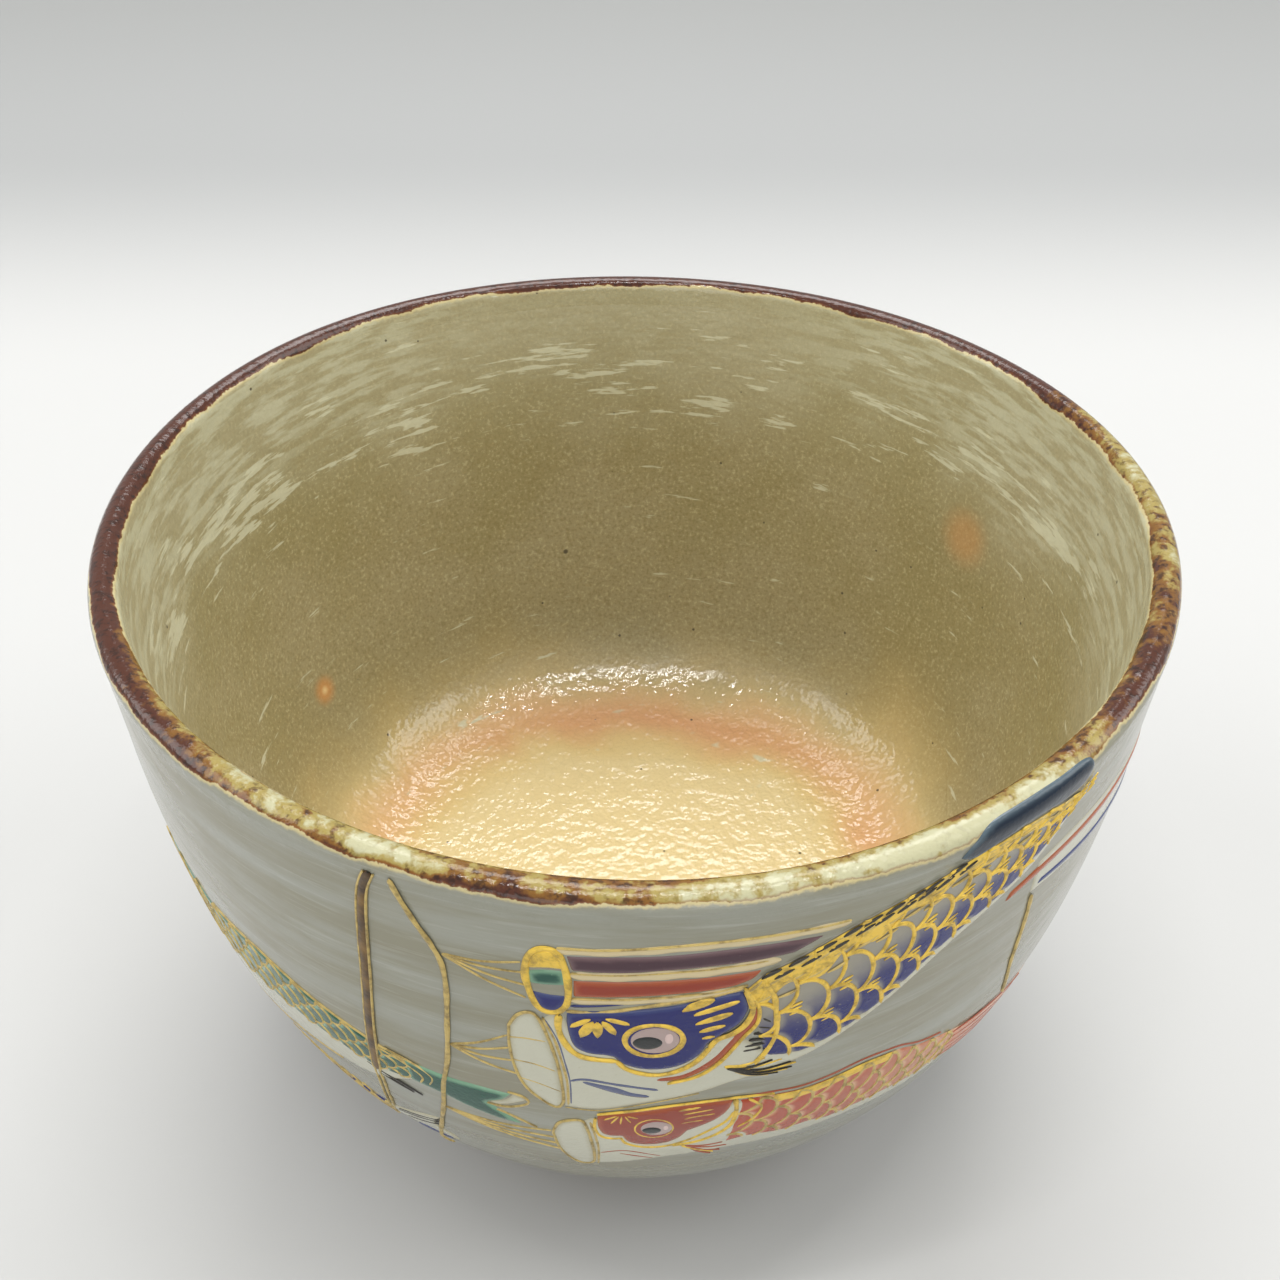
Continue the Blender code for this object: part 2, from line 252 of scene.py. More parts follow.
def swing(noisy, size):
    """A noise's swing about its middle, scaled to this size."""
    return times(maths("SUBTRACT", noisy, 0.5), size)


def blend(share, a, b):
    """Colours a and b mixed by share. A colour is a socket or (r, g, b)."""
    full = [(*c, 1.0) if isinstance(c, tuple) else c for c in (a, b)]
    return put("ShaderNodeMix", {0: share, 6: full[0], 7: full[1]}, data_type="RGBA").outputs[2]


def relief(shader, height, depth):
    """A relief of this depth in metres, for a height from 0 to 1."""
    made = put("ShaderNodeBump", {"Height": height, "Strength": 1.0, "Distance": depth})
    feed(shader, "Normal", made.outputs[0])


raw_clay, shader, where = start_material("raw clay", 0.8)
grain = noise(where, 0.0007, 4.0, 0.7)
stain = noise(where, 0.012, 3.0)
colour = blend(ramp(stain, 0.35, 0.7), (0.42, 0.31, 0.19), (0.30, 0.19, 0.11))
colour = blend(ramp(grain, 0.62, 0.70), colour, (0.12, 0.07, 0.04))
feed(shader, "Base Color", colour)
relief(shader, grain, 0.00012)

UNDERSIDE = 0.95  # share of the sheet that is wall; the rest is flat, in to the axis
CLAY_SINK = 0.25 * MM


def clay_skin(u, v):
    drop = DROPS[0] + np.minimum(v / UNDERSIDE, 1.0) * (DROPS[-1] - DROPS[0])
    bare = np.clip((drop - DROPS[-1] + BARE_CLAY + MM) / MM, 0, 1)
    points = on_wall(way_round(u), drop, -CLAY_SINK * (1 - 0.6 * bare))
    points[:, :2] *= 1 - np.clip((v - UNDERSIDE) / (1 - UNDERSIDE), 0, 1)[:, None]
    return points


clay_body = sheet("clay_body_fine", AROUND, 200, clay_skin)
add_to_bowl(clay_body, raw_clay, "raw_clay", "clay_body")

# ---- Foot ring -----------------------------------------------------------------------------
# A ring of the same bare clay, left standing when the underside was turned hollow with a
# trimming tool. The tool leaves fine rings round it, and its lower edges are sponged round.
FOOT_WALL = 5.0 * MM
FOOT_FLARE = 1.2 * MM
FOOT_CHAMFER = 0.8 * MM
FOOT_TOP = FOOT_HEIGHT + GAP
bore = FOOT_RADIUS - FOOT_WALL
section = {
    (-1, -1): (bore, 0.0),
    (1, -1): (FOOT_RADIUS + FOOT_FLARE, 0.0),
    (-1, 1): (bore, FOOT_TOP),
    (1, 1): (FOOT_RADIUS, FOOT_TOP),
}

bpy.ops.mesh.primitive_plane_add(size=2.0)
foot_ring = bpy.context.object
foot_ring.name = foot_ring.data.name = "foot_ring_turned"
for vertex in foot_ring.data.vertices:
    out, up = section[round(vertex.co.x), round(vertex.co.y)]
    vertex.co = (out, 0.0, up)
bpy.ops.object.mode_set(mode="EDIT")
bpy.ops.mesh.select_all(action="DESELECT")
bpy.ops.object.mode_set(mode="OBJECT")
for vertex in foot_ring.data.vertices:
    vertex.select = vertex.co.z == 0.0
bpy.ops.object.mode_set(mode="EDIT")
bpy.ops.mesh.bevel(offset=FOOT_CHAMFER, segments=4, affect="VERTICES")
bpy.ops.mesh.select_all(action="SELECT")
bpy.ops.mesh.delete(type="ONLY_FACE")
bpy.ops.mesh.select_all(action="SELECT")
bpy.ops.mesh.spin(steps=AROUND, angle=2 * math.pi, center=(0, 0, 0), axis=(0, 0, 1))
bpy.ops.mesh.select_all(action="SELECT")
bpy.ops.mesh.remove_doubles(threshold=MERGED)
bpy.ops.mesh.normals_make_consistent(inside=False)
bpy.ops.object.mode_set(mode="OBJECT")
bpy.ops.object.shade_smooth_by_angle(angle=math.radians(35))
foot_ring.select_set(False)

turned_clay, shader, where = start_material("turned clay", 0.82)
grain = noise(where, 0.0006, 4.0, 0.7)
rings = noise(where, 0.0008, 1.0, 0.5, (40, 40, 1))
colour = blend(ramp(grain, 0.35, 0.7), (0.44, 0.33, 0.20), (0.33, 0.22, 0.13))
colour = blend(ramp(grain, 0.64, 0.72), colour, (0.10, 0.06, 0.04))
feed(shader, "Base Color", colour)
relief(shader, plus(grain, rings), 0.00012)
add_to_bowl(foot_ring, turned_clay, "raw_clay", "foot_ring")

# ---- Inside glaze --------------------------------------------------------------------------
# A dull ash glaze over the buff clay, grainy and very faintly crackled, with iron specks from
# the clay. White slip was brushed round below the lip before glazing, and the glaze ran down
# and stands thick and glossy in the bottom, in a cream pool with a flashed pink ring.
DASHES_FROM = 52.0 * MM
DASHES_TO = 74.0 * MM
POOL_RADIUS = 31.0 * MM
RING_RADIUS = 36.0 * MM
PALER_FROM, PALER_TO = 46.0 * MM, 74.0 * MM  # heights over which the wall grows paler
SLIP_FROM, SLIP_TO = 56.0 * MM, 68.0 * MM
FLASHES = (  # place, radius, strength of the ring and of its pale centre
    ((-0.0465, 0.0199, 0.0314), 1.7 * MM, 0.75, 0.9),
    ((0.0474, 0.0280, 0.0536), 3.4 * MM, 0.4, 0.0),
)
INSIDE_FROM = -2.6 * MM


def shown(red, green, blue):
    """The colour that a display shows for these values, from 0 to 255."""
    return tuple(((c / 255 + 0.055) / 1.055) ** 2.4 if c > 10 else c / 255 / 12.92
                 for c in (red, green, blue))


def iron_specks(where, colour, spacing, size, share):
    """Dark specks of this size scattered over a colour, in this share of the places."""
    cells = put("ShaderNodeTexVoronoi", {"Vector": where, "Scale": 1 / spacing})
    chosen = put("ShaderNodeSeparateColor", {"Color": cells.outputs["Color"]})
    here = maths("LESS_THAN", chosen.outputs[0], share)
    dot = ramp(cells.outputs["Distance"], size / spacing * 0.35, size / spacing * 0.6, 0.85, 0.0)
    return blend(times(here, dot), colour, (0.05, 0.04, 0.03))


def crackle(where, size):
    """Fine lines of crackle, 1 on a line, in cells of this size."""
    cells = put("ShaderNodeTexVoronoi", {"Vector": where, "Scale": 1 / size},
                feature="DISTANCE_TO_EDGE")
    return ramp(cells.outputs["Distance"], 0.0, 0.07, 1.0, 0.0)


def slip_dashes(where, low, high, length, share):
    """Short strokes of white slip brushed round the wall between two heights, 0 to 1."""
    fine = noise(where, length, 3.0, 0.65, (1, 1, 0.13))
    clumps = noise(where, 0.020, 2.0, 0.5, (1, 1, 0.4))
    height = put("ShaderNodeSeparateXYZ", {0: where}).outputs[2]
    middle = (low + high) / 2
    upper = ramp(height, middle, high, 1.0, 0.0)
    lower = ramp(height, low, middle)
    chance = times(times(upper, lower), ramp(clumps, 0.35, 0.6))
    return ramp(plus(fine, times(chance, share)), 0.66, 0.72)


def inside_colour(where):
    """The inside glaze's colour, and how much of the bottom pool is under each point."""
    cloud = noise(where, 0.030, 3.0)
    grit = noise(where, 0.0005, 2.0, 0.6)
    colour = blend(ramp(cloud, 0.35, 0.65), shown(147, 137, 95), shown(157, 147, 111))
    colour = blend(ramp(grit, 0.50, 0.66, 0.0, 0.5), colour, shown(128, 116, 74))
    colour = blend(ramp(grit, 0.44, 0.32, 0.0, 0.5), colour, shown(194, 184, 146))
    place = put("ShaderNodeSeparateXYZ", {0: where})
    high = plus(place.outputs[2], swing(cloud, 0.03))
    sideways = put("ShaderNodeMath", {0: place.outputs[0]}, operation="ABSOLUTE").outputs[0]
    # The wall grows paler towards the lip between these heights.
    colour = blend(ramp(high, PALER_FROM, PALER_TO, 0.0, 0.6), colour, shown(172, 166, 134))
    brushed = noise(where, 0.008, 3.0, 0.6, (1, 1, 0.16))
    slip = times(ramp(high, SLIP_FROM, SLIP_TO), ramp(sideways, 0.018, 0.044, 0.2, 1.0))
    slip = times(slip, ramp(brushed, 0.42, 0.60))
    colour = blend(times(slip, 0.6), colour, shown(196, 196, 168))
    flat = put("ShaderNodeCombineXYZ", {0: place.outputs[0], 1: place.outputs[1]})
    radius = put("ShaderNodeVectorMath", {0: flat.outputs[0]}, operation="LENGTH").outputs[1]
    wobble = swing(cloud, 0.02)
    radius = plus(radius, wobble)
    low = ramp(place.outputs[2], 0.018, 0.040, 1.0, 0.0)
    warm = ramp(radius, 0.036, 0.052, 1.0, 0.0)
    colour = blend(times(warm, low), colour, shown(217, 191, 134))
    pink = times(ramp(radius, 0.029, RING_RADIUS), ramp(radius, RING_RADIUS, 0.044, 1.0, 0.0))
    patchy = ramp(cloud, 0.2, 0.7, 0.25, 0.75)
    colour = blend(times(pink, patchy), colour, shown(212, 150, 108))
    pool = ramp(radius, 0.026, POOL_RADIUS, 1.0, 0.0)
    colour = blend(times(pool, 0.8), colour, shown(220, 200, 151))
    for centre, size, strength, bright in FLASHES:
        away = put("ShaderNodeVectorMath", {0: where, 1: centre}, operation="DISTANCE").outputs[1]
        colour = blend(ramp(away, size * 0.4, size * 1.7, strength, 0.0), colour, shown(204, 142, 78))
        colour = blend(ramp(away, 0.0, size * 0.6, bright, 0.0), colour, shown(228, 204, 150))
    colour = iron_specks(where, colour, 0.0040, 0.00045, 0.4)
    colour = iron_specks(where, colour, 0.0130, 0.0009, 0.2)
    colour = blend(times(crackle(where, 0.0013), 0.07), colour, shown(120, 105, 70))
    dashes = slip_dashes(where, DASHES_FROM, DASHES_TO, 0.010, 0.16)
    colour = blend(times(dashes, 0.7), colour, shown(206, 206, 178))
    return colour, maths("MAXIMUM", pool, times(warm, low))


def inside_skin(u, v):
    drop = INSIDE_FROM + v * (DROPS[0] - INSIDE_FROM)
    return on_wall(-way_round(u), drop, 0.0)


inside_glaze = sheet("inside_glaze_crackled", AROUND, 140, inside_skin)
ash_glaze, shader, where = start_material("inside ash glaze", 0.35)
colour, pooled = inside_colour(where)
feed(shader, "Base Color", colour)
feed(shader, "Roughness", ramp(pooled, 0.1, 0.5, 0.38, 0.05))
peel = noise(where, 0.0011, 2.0)
ripple = times(noise(where, 0.0022, 2.0), ramp(pooled, 0.2, 0.8, 0.05, 0.95))
swell = noise(where, 0.007, 1.0)
height = plus(plus(times(peel, 0.35), swell), ripple)
relief(shader, height, 0.0003)
add_to_bowl(inside_glaze, ash_glaze, "inside_glaze", "inside_glaze")

# ---- Outside glaze -------------------------------------------------------------------------
# The same glaze outside, over grey-white slip laid on with a broad brush round the wall, so
# its streaks show through. The coat stops in a thick uneven edge above the bare clay.
OUTSIDE_FROM = 2.4 * MM
COAT_END = DROPS[-1] - BARE_CLAY


def outside_colour(where):
    """The outside glaze's colour: brushed slip over a greyer ground."""
    streaks = noise(where, 0.040, 5.0, 0.62, (1, 1, 0.10))
    cloud = noise(where, 0.035, 3.0)
    both = plus(times(streaks, 0.7), times(cloud, 0.3))
    colour = blend(ramp(both, 0.40, 0.62), shown(126, 123, 103), shown(140, 141, 129))
    fine = noise(where, 0.012, 4.0, 0.7, (1, 1, 0.05))
    colour = blend(ramp(fine, 0.52, 0.68, 0.0, 0.18), colour, shown(180, 184, 176))
    colour = iron_specks(where, colour, 0.0120, 0.0008, 0.12)
    return colour


def outside_skin(u, v):
    arc = way_round(u)
    ragged = 0.7 * MM * (np.sin(3 * arc / RIM_RADIUS + 1) + 0.6 * np.sin(7 * arc / RIM_RADIUS))
    drop = OUTSIDE_FROM + v * (COAT_END + ragged - OUTSIDE_FROM)
    left = (COAT_END + ragged - drop) / MM
    bead = 0.25 * MM * np.exp(-((left - 0.9) / 0.8) ** 2) - CLAY_SINK * 1.4 * np.exp(-((left / 0.3) ** 2))
    return on_wall(arc, drop, bead)


outside_glaze = sheet("outside_glaze_brushed", AROUND, 180, outside_skin)
slip_glaze, shader, where = start_material("outside slip glaze", 0.16)
feed(shader, "Base Color", outside_colour(where))
peel = noise(where, 0.0013, 2.0)
swell = noise(where, 0.009, 2.0, 0.5, (1, 1, 0.5))
relief(shader, plus(times(peel, 0.12), swell), 0.0002)
add_to_bowl(outside_glaze, slip_glaze, "outside_glaze", "outside_glaze")

# ---- Iron lip ------------------------------------------------------------------------------
# The lip was wiped with iron pigment, which fired to a glossy purple-brown. It breaks to
# olive and cream where it was wiped thin, and bleeds into both glazes in a ragged edge.
SOFT_SHINE = 0.35  # of the lip and the enamels: they mirror less than the clear glaze
LIP_FROM = -5.5 * MM
LIP_TO = 5.2 * MM
IRON_FROM = -1.5 * MM
IRON_TO = 1.7 * MM
# At -23 degrees the top carries almost no iron: that pale cream patch is a painted highlight.
IRON_AND_HIGHLIGHT_ROUND = (  # degrees round from the front, and how much iron inside, on top and outside
    (-180, 1.0, 1.0, 1.0), (-78, 1.0, 1.0, 1.0), (-66, 0.65, 0.9, 1.0), (-50, 0.4, 0.85, 1.0),
    (-40, 0.35, 0.6, 0.8), (-30, 0.3, 0.4, 0.75), (-23, 0.3, 0.15, 0.8), (-14, 0.55, 0.5, 0.9),
    (-4, 0.65, 0.5, 0.65), (6, 0.6, 0.32, 0.35), (24, 0.65, 0.15, 0.25), (36, 0.6, 0.2, 0.3),
    (46, 0.6, 0.5, 0.4), (54, 0.6, 0.95, 0.8), (64, 0.6, 0.7, 0.7), (74, 0.6, 0.45, 0.5),
    (90, 0.5, 0.4, 0.4), (105, 0.7, 0.42, 0.42), (122, 1.0, 1.0, 0.9), (180, 1.0, 1.0, 1.0),
)


def lip_skin(u, v):
    drop = LIP_FROM + v * (LIP_TO - LIP_FROM)
    edge = np.minimum(v, 1 - v) * 2
    return on_wall(way_round(u), drop, (0.09 * np.sqrt(edge) - 0.03) * MM)


def iron_and_highlight(u, v):
    """How much iron was left on the lip, by its place round and across the lip. Where it is least, on top at
    -23 degrees, its pale cream patch is a painted highlight.
    """
    turn, inner, top, outer = np.array(IRON_AND_HIGHLIGHT_ROUND).T
    degrees = (u - 0.5) * 360
    drop = LIP_FROM + v * (LIP_TO - LIP_FROM)
    amounts = [np.interp(degrees, turn, part) for part in (inner, top, outer)]
    up = np.clip((drop + 1.5 * MM) / (2 * MM), 0, 1)
    over = np.clip((drop - 0.8 * MM) / (1.2 * MM), 0, 1)
    return amounts[0] * (1 - up) + (amounts[1] * (1 - over) + amounts[2] * over) * up


def iron_band(u, v):
    """1 well inside the wiped band, 0.5 along its edges and 0 well outside them."""
    drop = LIP_FROM + v * (LIP_TO - LIP_FROM)
    wander = 0.22 * MM * (np.sin(u * 57) + 0.7 * np.sin(u * 131 + 2) + 0.5 * np.sin(u * 263 + 1))
    inward = np.minimum(drop - IRON_FROM + wander, IRON_TO + wander - drop)
    return np.clip(0.5 + inward / (1.6 * MM), 0, 1)


iron_lip = sheet("iron_lip_wiped", 512, 28, lip_skin, {
    "iron": iron_and_highlight, "band": iron_band, "outer": lambda u, v: np.clip((v - 0.46) * 12, 0, 1)})
iron_glaze, shader, where = start_material("iron lip glaze", 0.14)
shader.inputs["Specular IOR Level"].default_value = SOFT_SHINE
iron, band, outer = (marked(where, mark) for mark in ("iron", "band", "outer"))
broad = noise(where, 0.0034, 4.0, 0.62)
fine = noise(where, 0.0009, 3.0, 0.6)
left = plus(iron, swing(broad, 1.1))
left = plus(left, swing(fine, 0.35))
colour = blend(ramp(left, 0.22, 0.40), shown(172, 169, 136), shown(146, 130, 72))
colour = blend(ramp(left, 0.42, 0.56), colour, shown(116, 80, 34))
colour = blend(ramp(left, 0.56, 0.76), colour, shown(72, 40, 28))
burnt = times(ramp(fine, 0.50, 0.66, 0.0, 0.7), ramp(left, 0.30, 0.60, 0.15, 1.0))
colour = blend(burnt, colour, shown(40, 26, 20))
glazes = blend(outer, inside_colour(where)[0], outside_colour(where))
edge = plus(band, swing(fine, 0.55))
glazes = blend(ramp(edge, 0.15, 0.42, 0.0, 0.75), glazes, shown(196, 180, 128))
rim = blend(ramp(edge, 0.50, 0.68), blend(0.5, colour, shown(120, 70, 30)), colour)
feed(shader, "Base Color", blend(ramp(edge, 0.42, 0.52), glazes, rim))
feed(shader, "Roughness", ramp(left, 0.3, 0.8, 0.2, 0.12))
relief(shader, plus(broad, times(fine, 0.5)), 0.00016)
add_to_bowl(iron_lip, iron_glaze, "iron_glaze", "iron_lip")

# ---- Striped streamer, at the top of the pole ------------------------------------------------
# Overglaze enamel, laid on thick with a brush over the fired glaze and fired again, so each
# colour stands up as a soft-edged pool. Its hoop and its outlines are drawn in gold. The
# strokes of all the painting are given in millimetres round and down the wall.
SUNK = 0.06  # mm that an edge goes into the glaze, so nothing shows under it


def outline(*stretches):
    """A closed line of smooth stretches, with a corner wherever one meets the next. Each goes
    on from the end of the one before, and the last comes back to the start: if it is empty,
    it comes straight back."""
    at, parts = stretches[0][0], []
    for points in [*stretches[:-1], [*stretches[-1], at]]:
        if not np.allclose(points[0], at):
            points = [at, *points]
        parts.append(smooth_curve(points, 8)[:-1])
        at = points[-1]
    return np.concatenate(parts)


def rounded(points, steps=8):
    """A closed smooth line through the points."""
    return smooth_curve([*points, points[0]], steps)[:-1]


def spaced(line, spacing=None, count=None):
    """The same line with its points evenly spaced."""
    along = lengths_along(line)
    count = count or max(int(round(along[-1] / spacing)) + 1, 3)
    even = np.linspace(0, along[-1], count)
    return np.stack([np.interp(even, along, line[:, k]) for k in (0, 1)], -1)


def grid_faces(long, wide, ring=False):
    """The faces of a grid of long by wide points, looking off the wall."""
    i, j = np.meshgrid(np.arange(long if ring else long - 1), np.arange(wide - 1), indexing="ij")
    a, b = (i * wide + j).ravel(), (((i + 1) % long) * wide + j).ravel()
    return np.stack([a, a + 1, b + 1, b], -1).tolist()


def stroke(points, width, over=0.1, rise=0.1, ring=False, deep=1.0, smooth=True):
    """One brush stroke: a domed ribbon along the points, with pointed or blunt soft ends.
    Width is one number or several along the stroke. Everything is in millimetres."""
    path = smooth_curve([*points, points[0]] if ring else points, 8) if smooth else np.array(points, float)
    path = spaced(path, 0.35 if np.max(width) > 0.3 else 0.25)
    if ring:
        path = path[:-1]
        way = np.roll(path, -1, 0) - np.roll(path, 1, 0)
    else:
        way = np.gradient(path, axis=0)
    way = way / np.maximum(np.linalg.norm(way, axis=1, keepdims=True), 1e-6)
    side = np.stack([-way[:, 1], way[:, 0]], -1)
    share = np.linspace(0, 1, len(path))
    width = np.interp(share, np.linspace(0, 1, np.size(width)), np.atleast_1d(width))
    width = width * (1 + 0.12 * np.sin(path[:, 0] * 1.7 + path[:, 1] * 1.3))
    if not ring:
        left = np.minimum(share, 1 - share) * lengths_along(path)[-1]
        width = width * np.sqrt(np.clip(left / (0.6 * width) + 0.04, 0, 1))
    across = np.array([-1, -0.72, 0, 0.72, 1]) / 2
    dome = np.array([-SUNK / rise, 0.7, 1.0, 0.7, -SUNK / rise])
    spots = path[:, None] + side[:, None] * (width[:, None] * across)[..., None]
    lift = over + rise * np.broadcast_to(dome, (len(path), 5))
    return spots.reshape(-1, 2), lift.ravel(), np.full(len(path) * 5, deep), grid_faces(len(path), 5, ring)


def inside_of(outline, spots):
    """Whether each spot is inside a closed outline, and how far it is from it."""
    a, b = outline, np.roll(outline, -1, 0)
    way = b - a
    inside = np.zeros(len(spots), bool)
    nearest = np.full(len(spots), 1e9)
    for (ax, ay), (_, by), (wx, wy) in zip(a, b, way):
        crosses = (ay > spots[:, 1]) != (by > spots[:, 1])
        at = ax + (spots[:, 1] - ay) / (wy if wy else 1e-9) * wx
        inside ^= crosses & (spots[:, 0] < at)
        t = np.clip(((spots[:, 0] - ax) * wx + (spots[:, 1] - ay) * wy) / max(wx * wx + wy * wy, 1e-9), 0, 1)
        nearest = np.minimum(nearest, np.hypot(spots[:, 0] - ax - t * wx, spots[:, 1] - ay - t * wy))
    return inside, nearest


def pool(outline, over=0.0, rise=0.16, spacing=0.5, soft=0.5, deep=None):
    """Enamel flooded inside a closed outline: its edge is round and thin, its middle flat."""
    edge = spaced(np.concatenate([outline, outline[:1]]), 0.35)[:-1]
    low, high = edge.min(0), edge.max(0)
    xs, ys = np.arange(low[0], high[0], spacing), np.arange(low[1], high[1], spacing * 0.87)
    grid = np.array([(x + (row % 2) * spacing / 2, y) for row, y in enumerate(ys) for x in xs])
    inside, away = inside_of(edge, grid)
    step = np.roll(edge, -1, 0) - np.roll(edge, 1, 0)
    step = step / np.linalg.norm(step, axis=1, keepdims=True)
    inner = []
    for sink in (0.14, 0.34):
        for sign in (-1, 1):
            shifted = edge + sign * sink * np.stack([-step[:, 1], step[:, 0]], -1)
            ok, gap = inside_of(edge, shifted)
            inner.append(shifted[ok & (gap > sink * 0.9)])
    grid = np.concatenate([*inner, grid[inside & (away > 0.55)]])
    spots = [Vector(p) for p in np.concatenate([edge, grid])]
    ring = [(i, (i + 1) % len(edge)) for i in range(len(edge))]
    found = delaunay_2d_cdt(spots, ring, [], 1, 1e-5)
    spots = np.array([tuple(p) for p in found[0]])
    away = inside_of(edge, spots)[1]
    share = np.clip(away / soft, 0, 1)
    lift = over - SUNK + (rise + SUNK) * np.sqrt(1 - (1 - share) ** 2)
    depth = np.clip(away / (soft * 1.6), 0, 1) if deep is None else deep(spots, away)
    return spots, lift, depth, [list(face)[::-1] for face in found[2]]


def painted(name, parts, ink, node=None):
    """One piece made of strokes and pools, laid on the wall, riding on the bowl. The ink is
    a material and its slot."""
    spots, lift, depth, faces, start = [], [], [], [], 0
    for part in parts:
        spots.append(part[0])
        lift.append(part[1])
        depth.append(part[2])
        faces += [[start + corner for corner in face] for face in part[3]]
        start += len(part[0])
    spots, lift = np.concatenate(spots) * MM, np.concatenate(lift) * MM
    mesh = bpy.data.meshes.new(name)
    mesh.from_pydata(on_wall(spots[:, 0], spots[:, 1], lift).tolist(), [], faces)
    mesh.validate()
    piece = bpy.data.objects.new(name, mesh)
    bpy.context.scene.collection.objects.link(piece)
    mesh.shade_smooth()
    deep = mesh.attributes.new("deep", "FLOAT", "POINT")
    deep.data.foreach_set("value", np.concatenate(depth).astype(np.float32))
    add_to_bowl(piece, *ink, node)


def enamel(name, slot, thin, deep, roughness=0.12, grain=0.35):
    """An enamel and its slot: its colour where it lies thin, and where it pools deep."""
    made, shader, where = start_material(name, roughness)
    shader.inputs["Specular IOR Level"].default_value = SOFT_SHINE
    depth = marked(where, "deep")
    cloud = noise(where, 0.0022, 3.0, 0.6)
    uneven = swing(cloud, grain)
    colour = blend(ramp(plus(depth, uneven), 0.0, 1.0), thin, deep)
    pits = noise(where, 0.0005, 2.0)
    colour = blend(ramp(pits, 0.68, 0.76, 0.0, 0.35), colour, thin)
    feed(shader, "Base Color", colour)
    relief(shader, plus(cloud, times(pits, 0.4)), 0.00006)
    return made, slot


def fired_gold(name, slot, bright, dull):
    """Liquid gold and its slot: a satin skin, thin and brownish in places."""
    made, shader, where = start_material(name, 0.38)
    wear = noise(where, 0.0016, 4.0, 0.7)
    streak = noise(where, 0.0006, 2.0)
    colour = blend(ramp(wear, 0.42, 0.70), bright, dull)
    feed(shader, "Base Color", colour)
    shader.inputs["Metallic"].default_value = 0.3
    feed(shader, "Roughness", ramp(streak, 0.3, 0.7, 0.28, 0.5))
    relief(shader, streak, 0.00005)
    return made, slot


gold = fired_gold("fired gold", "gold", shown(224, 188, 72), shown(160, 132, 58))
pale_gold = fired_gold("thin fired gold", "gold", shown(192, 168, 100), shown(134, 114, 66))
purple = enamel("purple enamel", "purple_enamel", shown(104, 80, 82), shown(62, 36, 46))
red = enamel("iron red enamel", "red_enamel", shown(156, 80, 44), shown(132, 42, 14))
blue = enamel("cobalt blue enamel", "blue_enamel", shown(54, 64, 108), shown(4, 14, 90))
green = enamel("copper green enamel", "green_enamel", shown(120, 158, 130), shown(8, 68, 54))
white = enamel("white enamel", "white_enamel", shown(166, 161, 136), shown(182, 181, 163))
cream = enamel("cream line enamel", "white_enamel", shown(178, 164, 128), shown(196, 180, 140))

hoop = rounded([
    (-9.4, 12.1), (-8.9, 10.1), (-7.8, 8.9), (-6.7, 9.0), (-6.0, 10.4), (-5.65, 12.9), (-5.6, 15.4),
    (-5.9, 17.5), (-6.7, 18.6), (-7.8, 18.9), (-8.8, 17.8), (-9.3, 15.6), (-9.5, 13.8),
])
yellow = outline(
    [(-9.2, 12.2), (-8.8, 10.2), (-7.8, 9.1), (-6.7, 9.2), (-6.0, 10.5), (-5.8, 11.7)], [(-7.5, 11.8)])
painted("streamer_hoop", [pool(yellow, 0.05, 0.2), stroke(hoop[::6], 0.75, 0.1, 0.16, ring=True)],
        gold, "streamer_mouth")
band = outline(
    [(-9.2, 12.7), (-7.6, 12.2), (-5.8, 12.1)], [(-5.75, 14.3)], [(-7.5, 14.6), (-9.2, 14.7)], [])
painted("streamer_hoop_green", [pool(band)], green)
band = outline(
    [(-9.0, 15.9), (-7.3, 16.1), (-5.8, 16.0)], [(-6.0, 17.5), (-6.8, 18.6), (-7.8, 18.7), (-8.6, 18.0)])
painted("streamer_hoop_blue", [pool(band)], blue)
band = outline(
    [(-5.6, 9.7), (-1.2, 9.3), (3.1, 9.0), (7.4, 8.7), (11.3, 8.6), (17.4, 8.9)], [(14.6, 10.6)],
    [(11.1, 10.9), (7.5, 11.0), (3.1, 11.3), (-1.2, 11.8), (-5.2, 11.9)], [])
painted("streamer_stripe_purple", [pool(band)], purple, "streamer_purple")
band = outline(
    [(-5.1, 13.4), (-1.2, 13.1), (3.2, 12.8), (7.6, 12.6), (11.8, 12.4)], [(11.0, 13.6), (9.4, 14.4)],
    [(7.6, 14.7), (3.2, 15.1), (-1.3, 15.6), (-5.2, 16.0)], [])
painted("streamer_stripe_red", [pool(band)], red, "streamer_red")
painted("streamer_cream_lines", [
    stroke([(-6.6, 9.0), (-2.6, 8.8), (1.7, 8.3), (5.9, 7.9), (11.2, 7.8), (19.6, 7.9)], 1.2, 0.0, 0.1),
    stroke([(-5.3, 12.7), (-1.2, 12.4), (3.1, 12.0), (7.5, 11.8), (13.4, 11.3)], 1.45, 0.0, 0.1),
    stroke([(-5.4, 16.7), (-1.3, 16.3), (3.2, 15.8), (7.7, 15.3), (10.2, 14.9)], 1.1, 0.0, 0.1),
], cream)
painted("streamer_grey_line", [
    stroke([(-5.5, 17.6), (-3.4, 17.3), (-0.6, 16.7)], (0.5, 0.35, 0.15), 0.0, 0.08, deep=0.4),
], blue)
painted("streamer_gold_lines", [
    stroke([(-6.4, 8.6), (-2.6, 8.4), (1.7, 7.9), (5.9, 7.5), (11.2, 7.4), (19.6, 7.6)], 0.3, 0.05),
    stroke([(-5.3, 12.3), (-1.2, 12.05), (3.1, 11.6), (7.5, 11.35), (12.2, 11.1)], 0.25, 0.05),
    stroke([(-5.3, 16.3), (-1.3, 15.95), (3.2, 15.45), (7.7, 15.0), (10.6, 14.5)], 0.28, 0.05),
    stroke([(-5.9, 18.5), (-2.8, 18.3), (1.0, 17.1), (4.7, 16.2), (7.7, 15.6), (10.4, 14.8)], 0.45, 0.05),
], pale_gold)
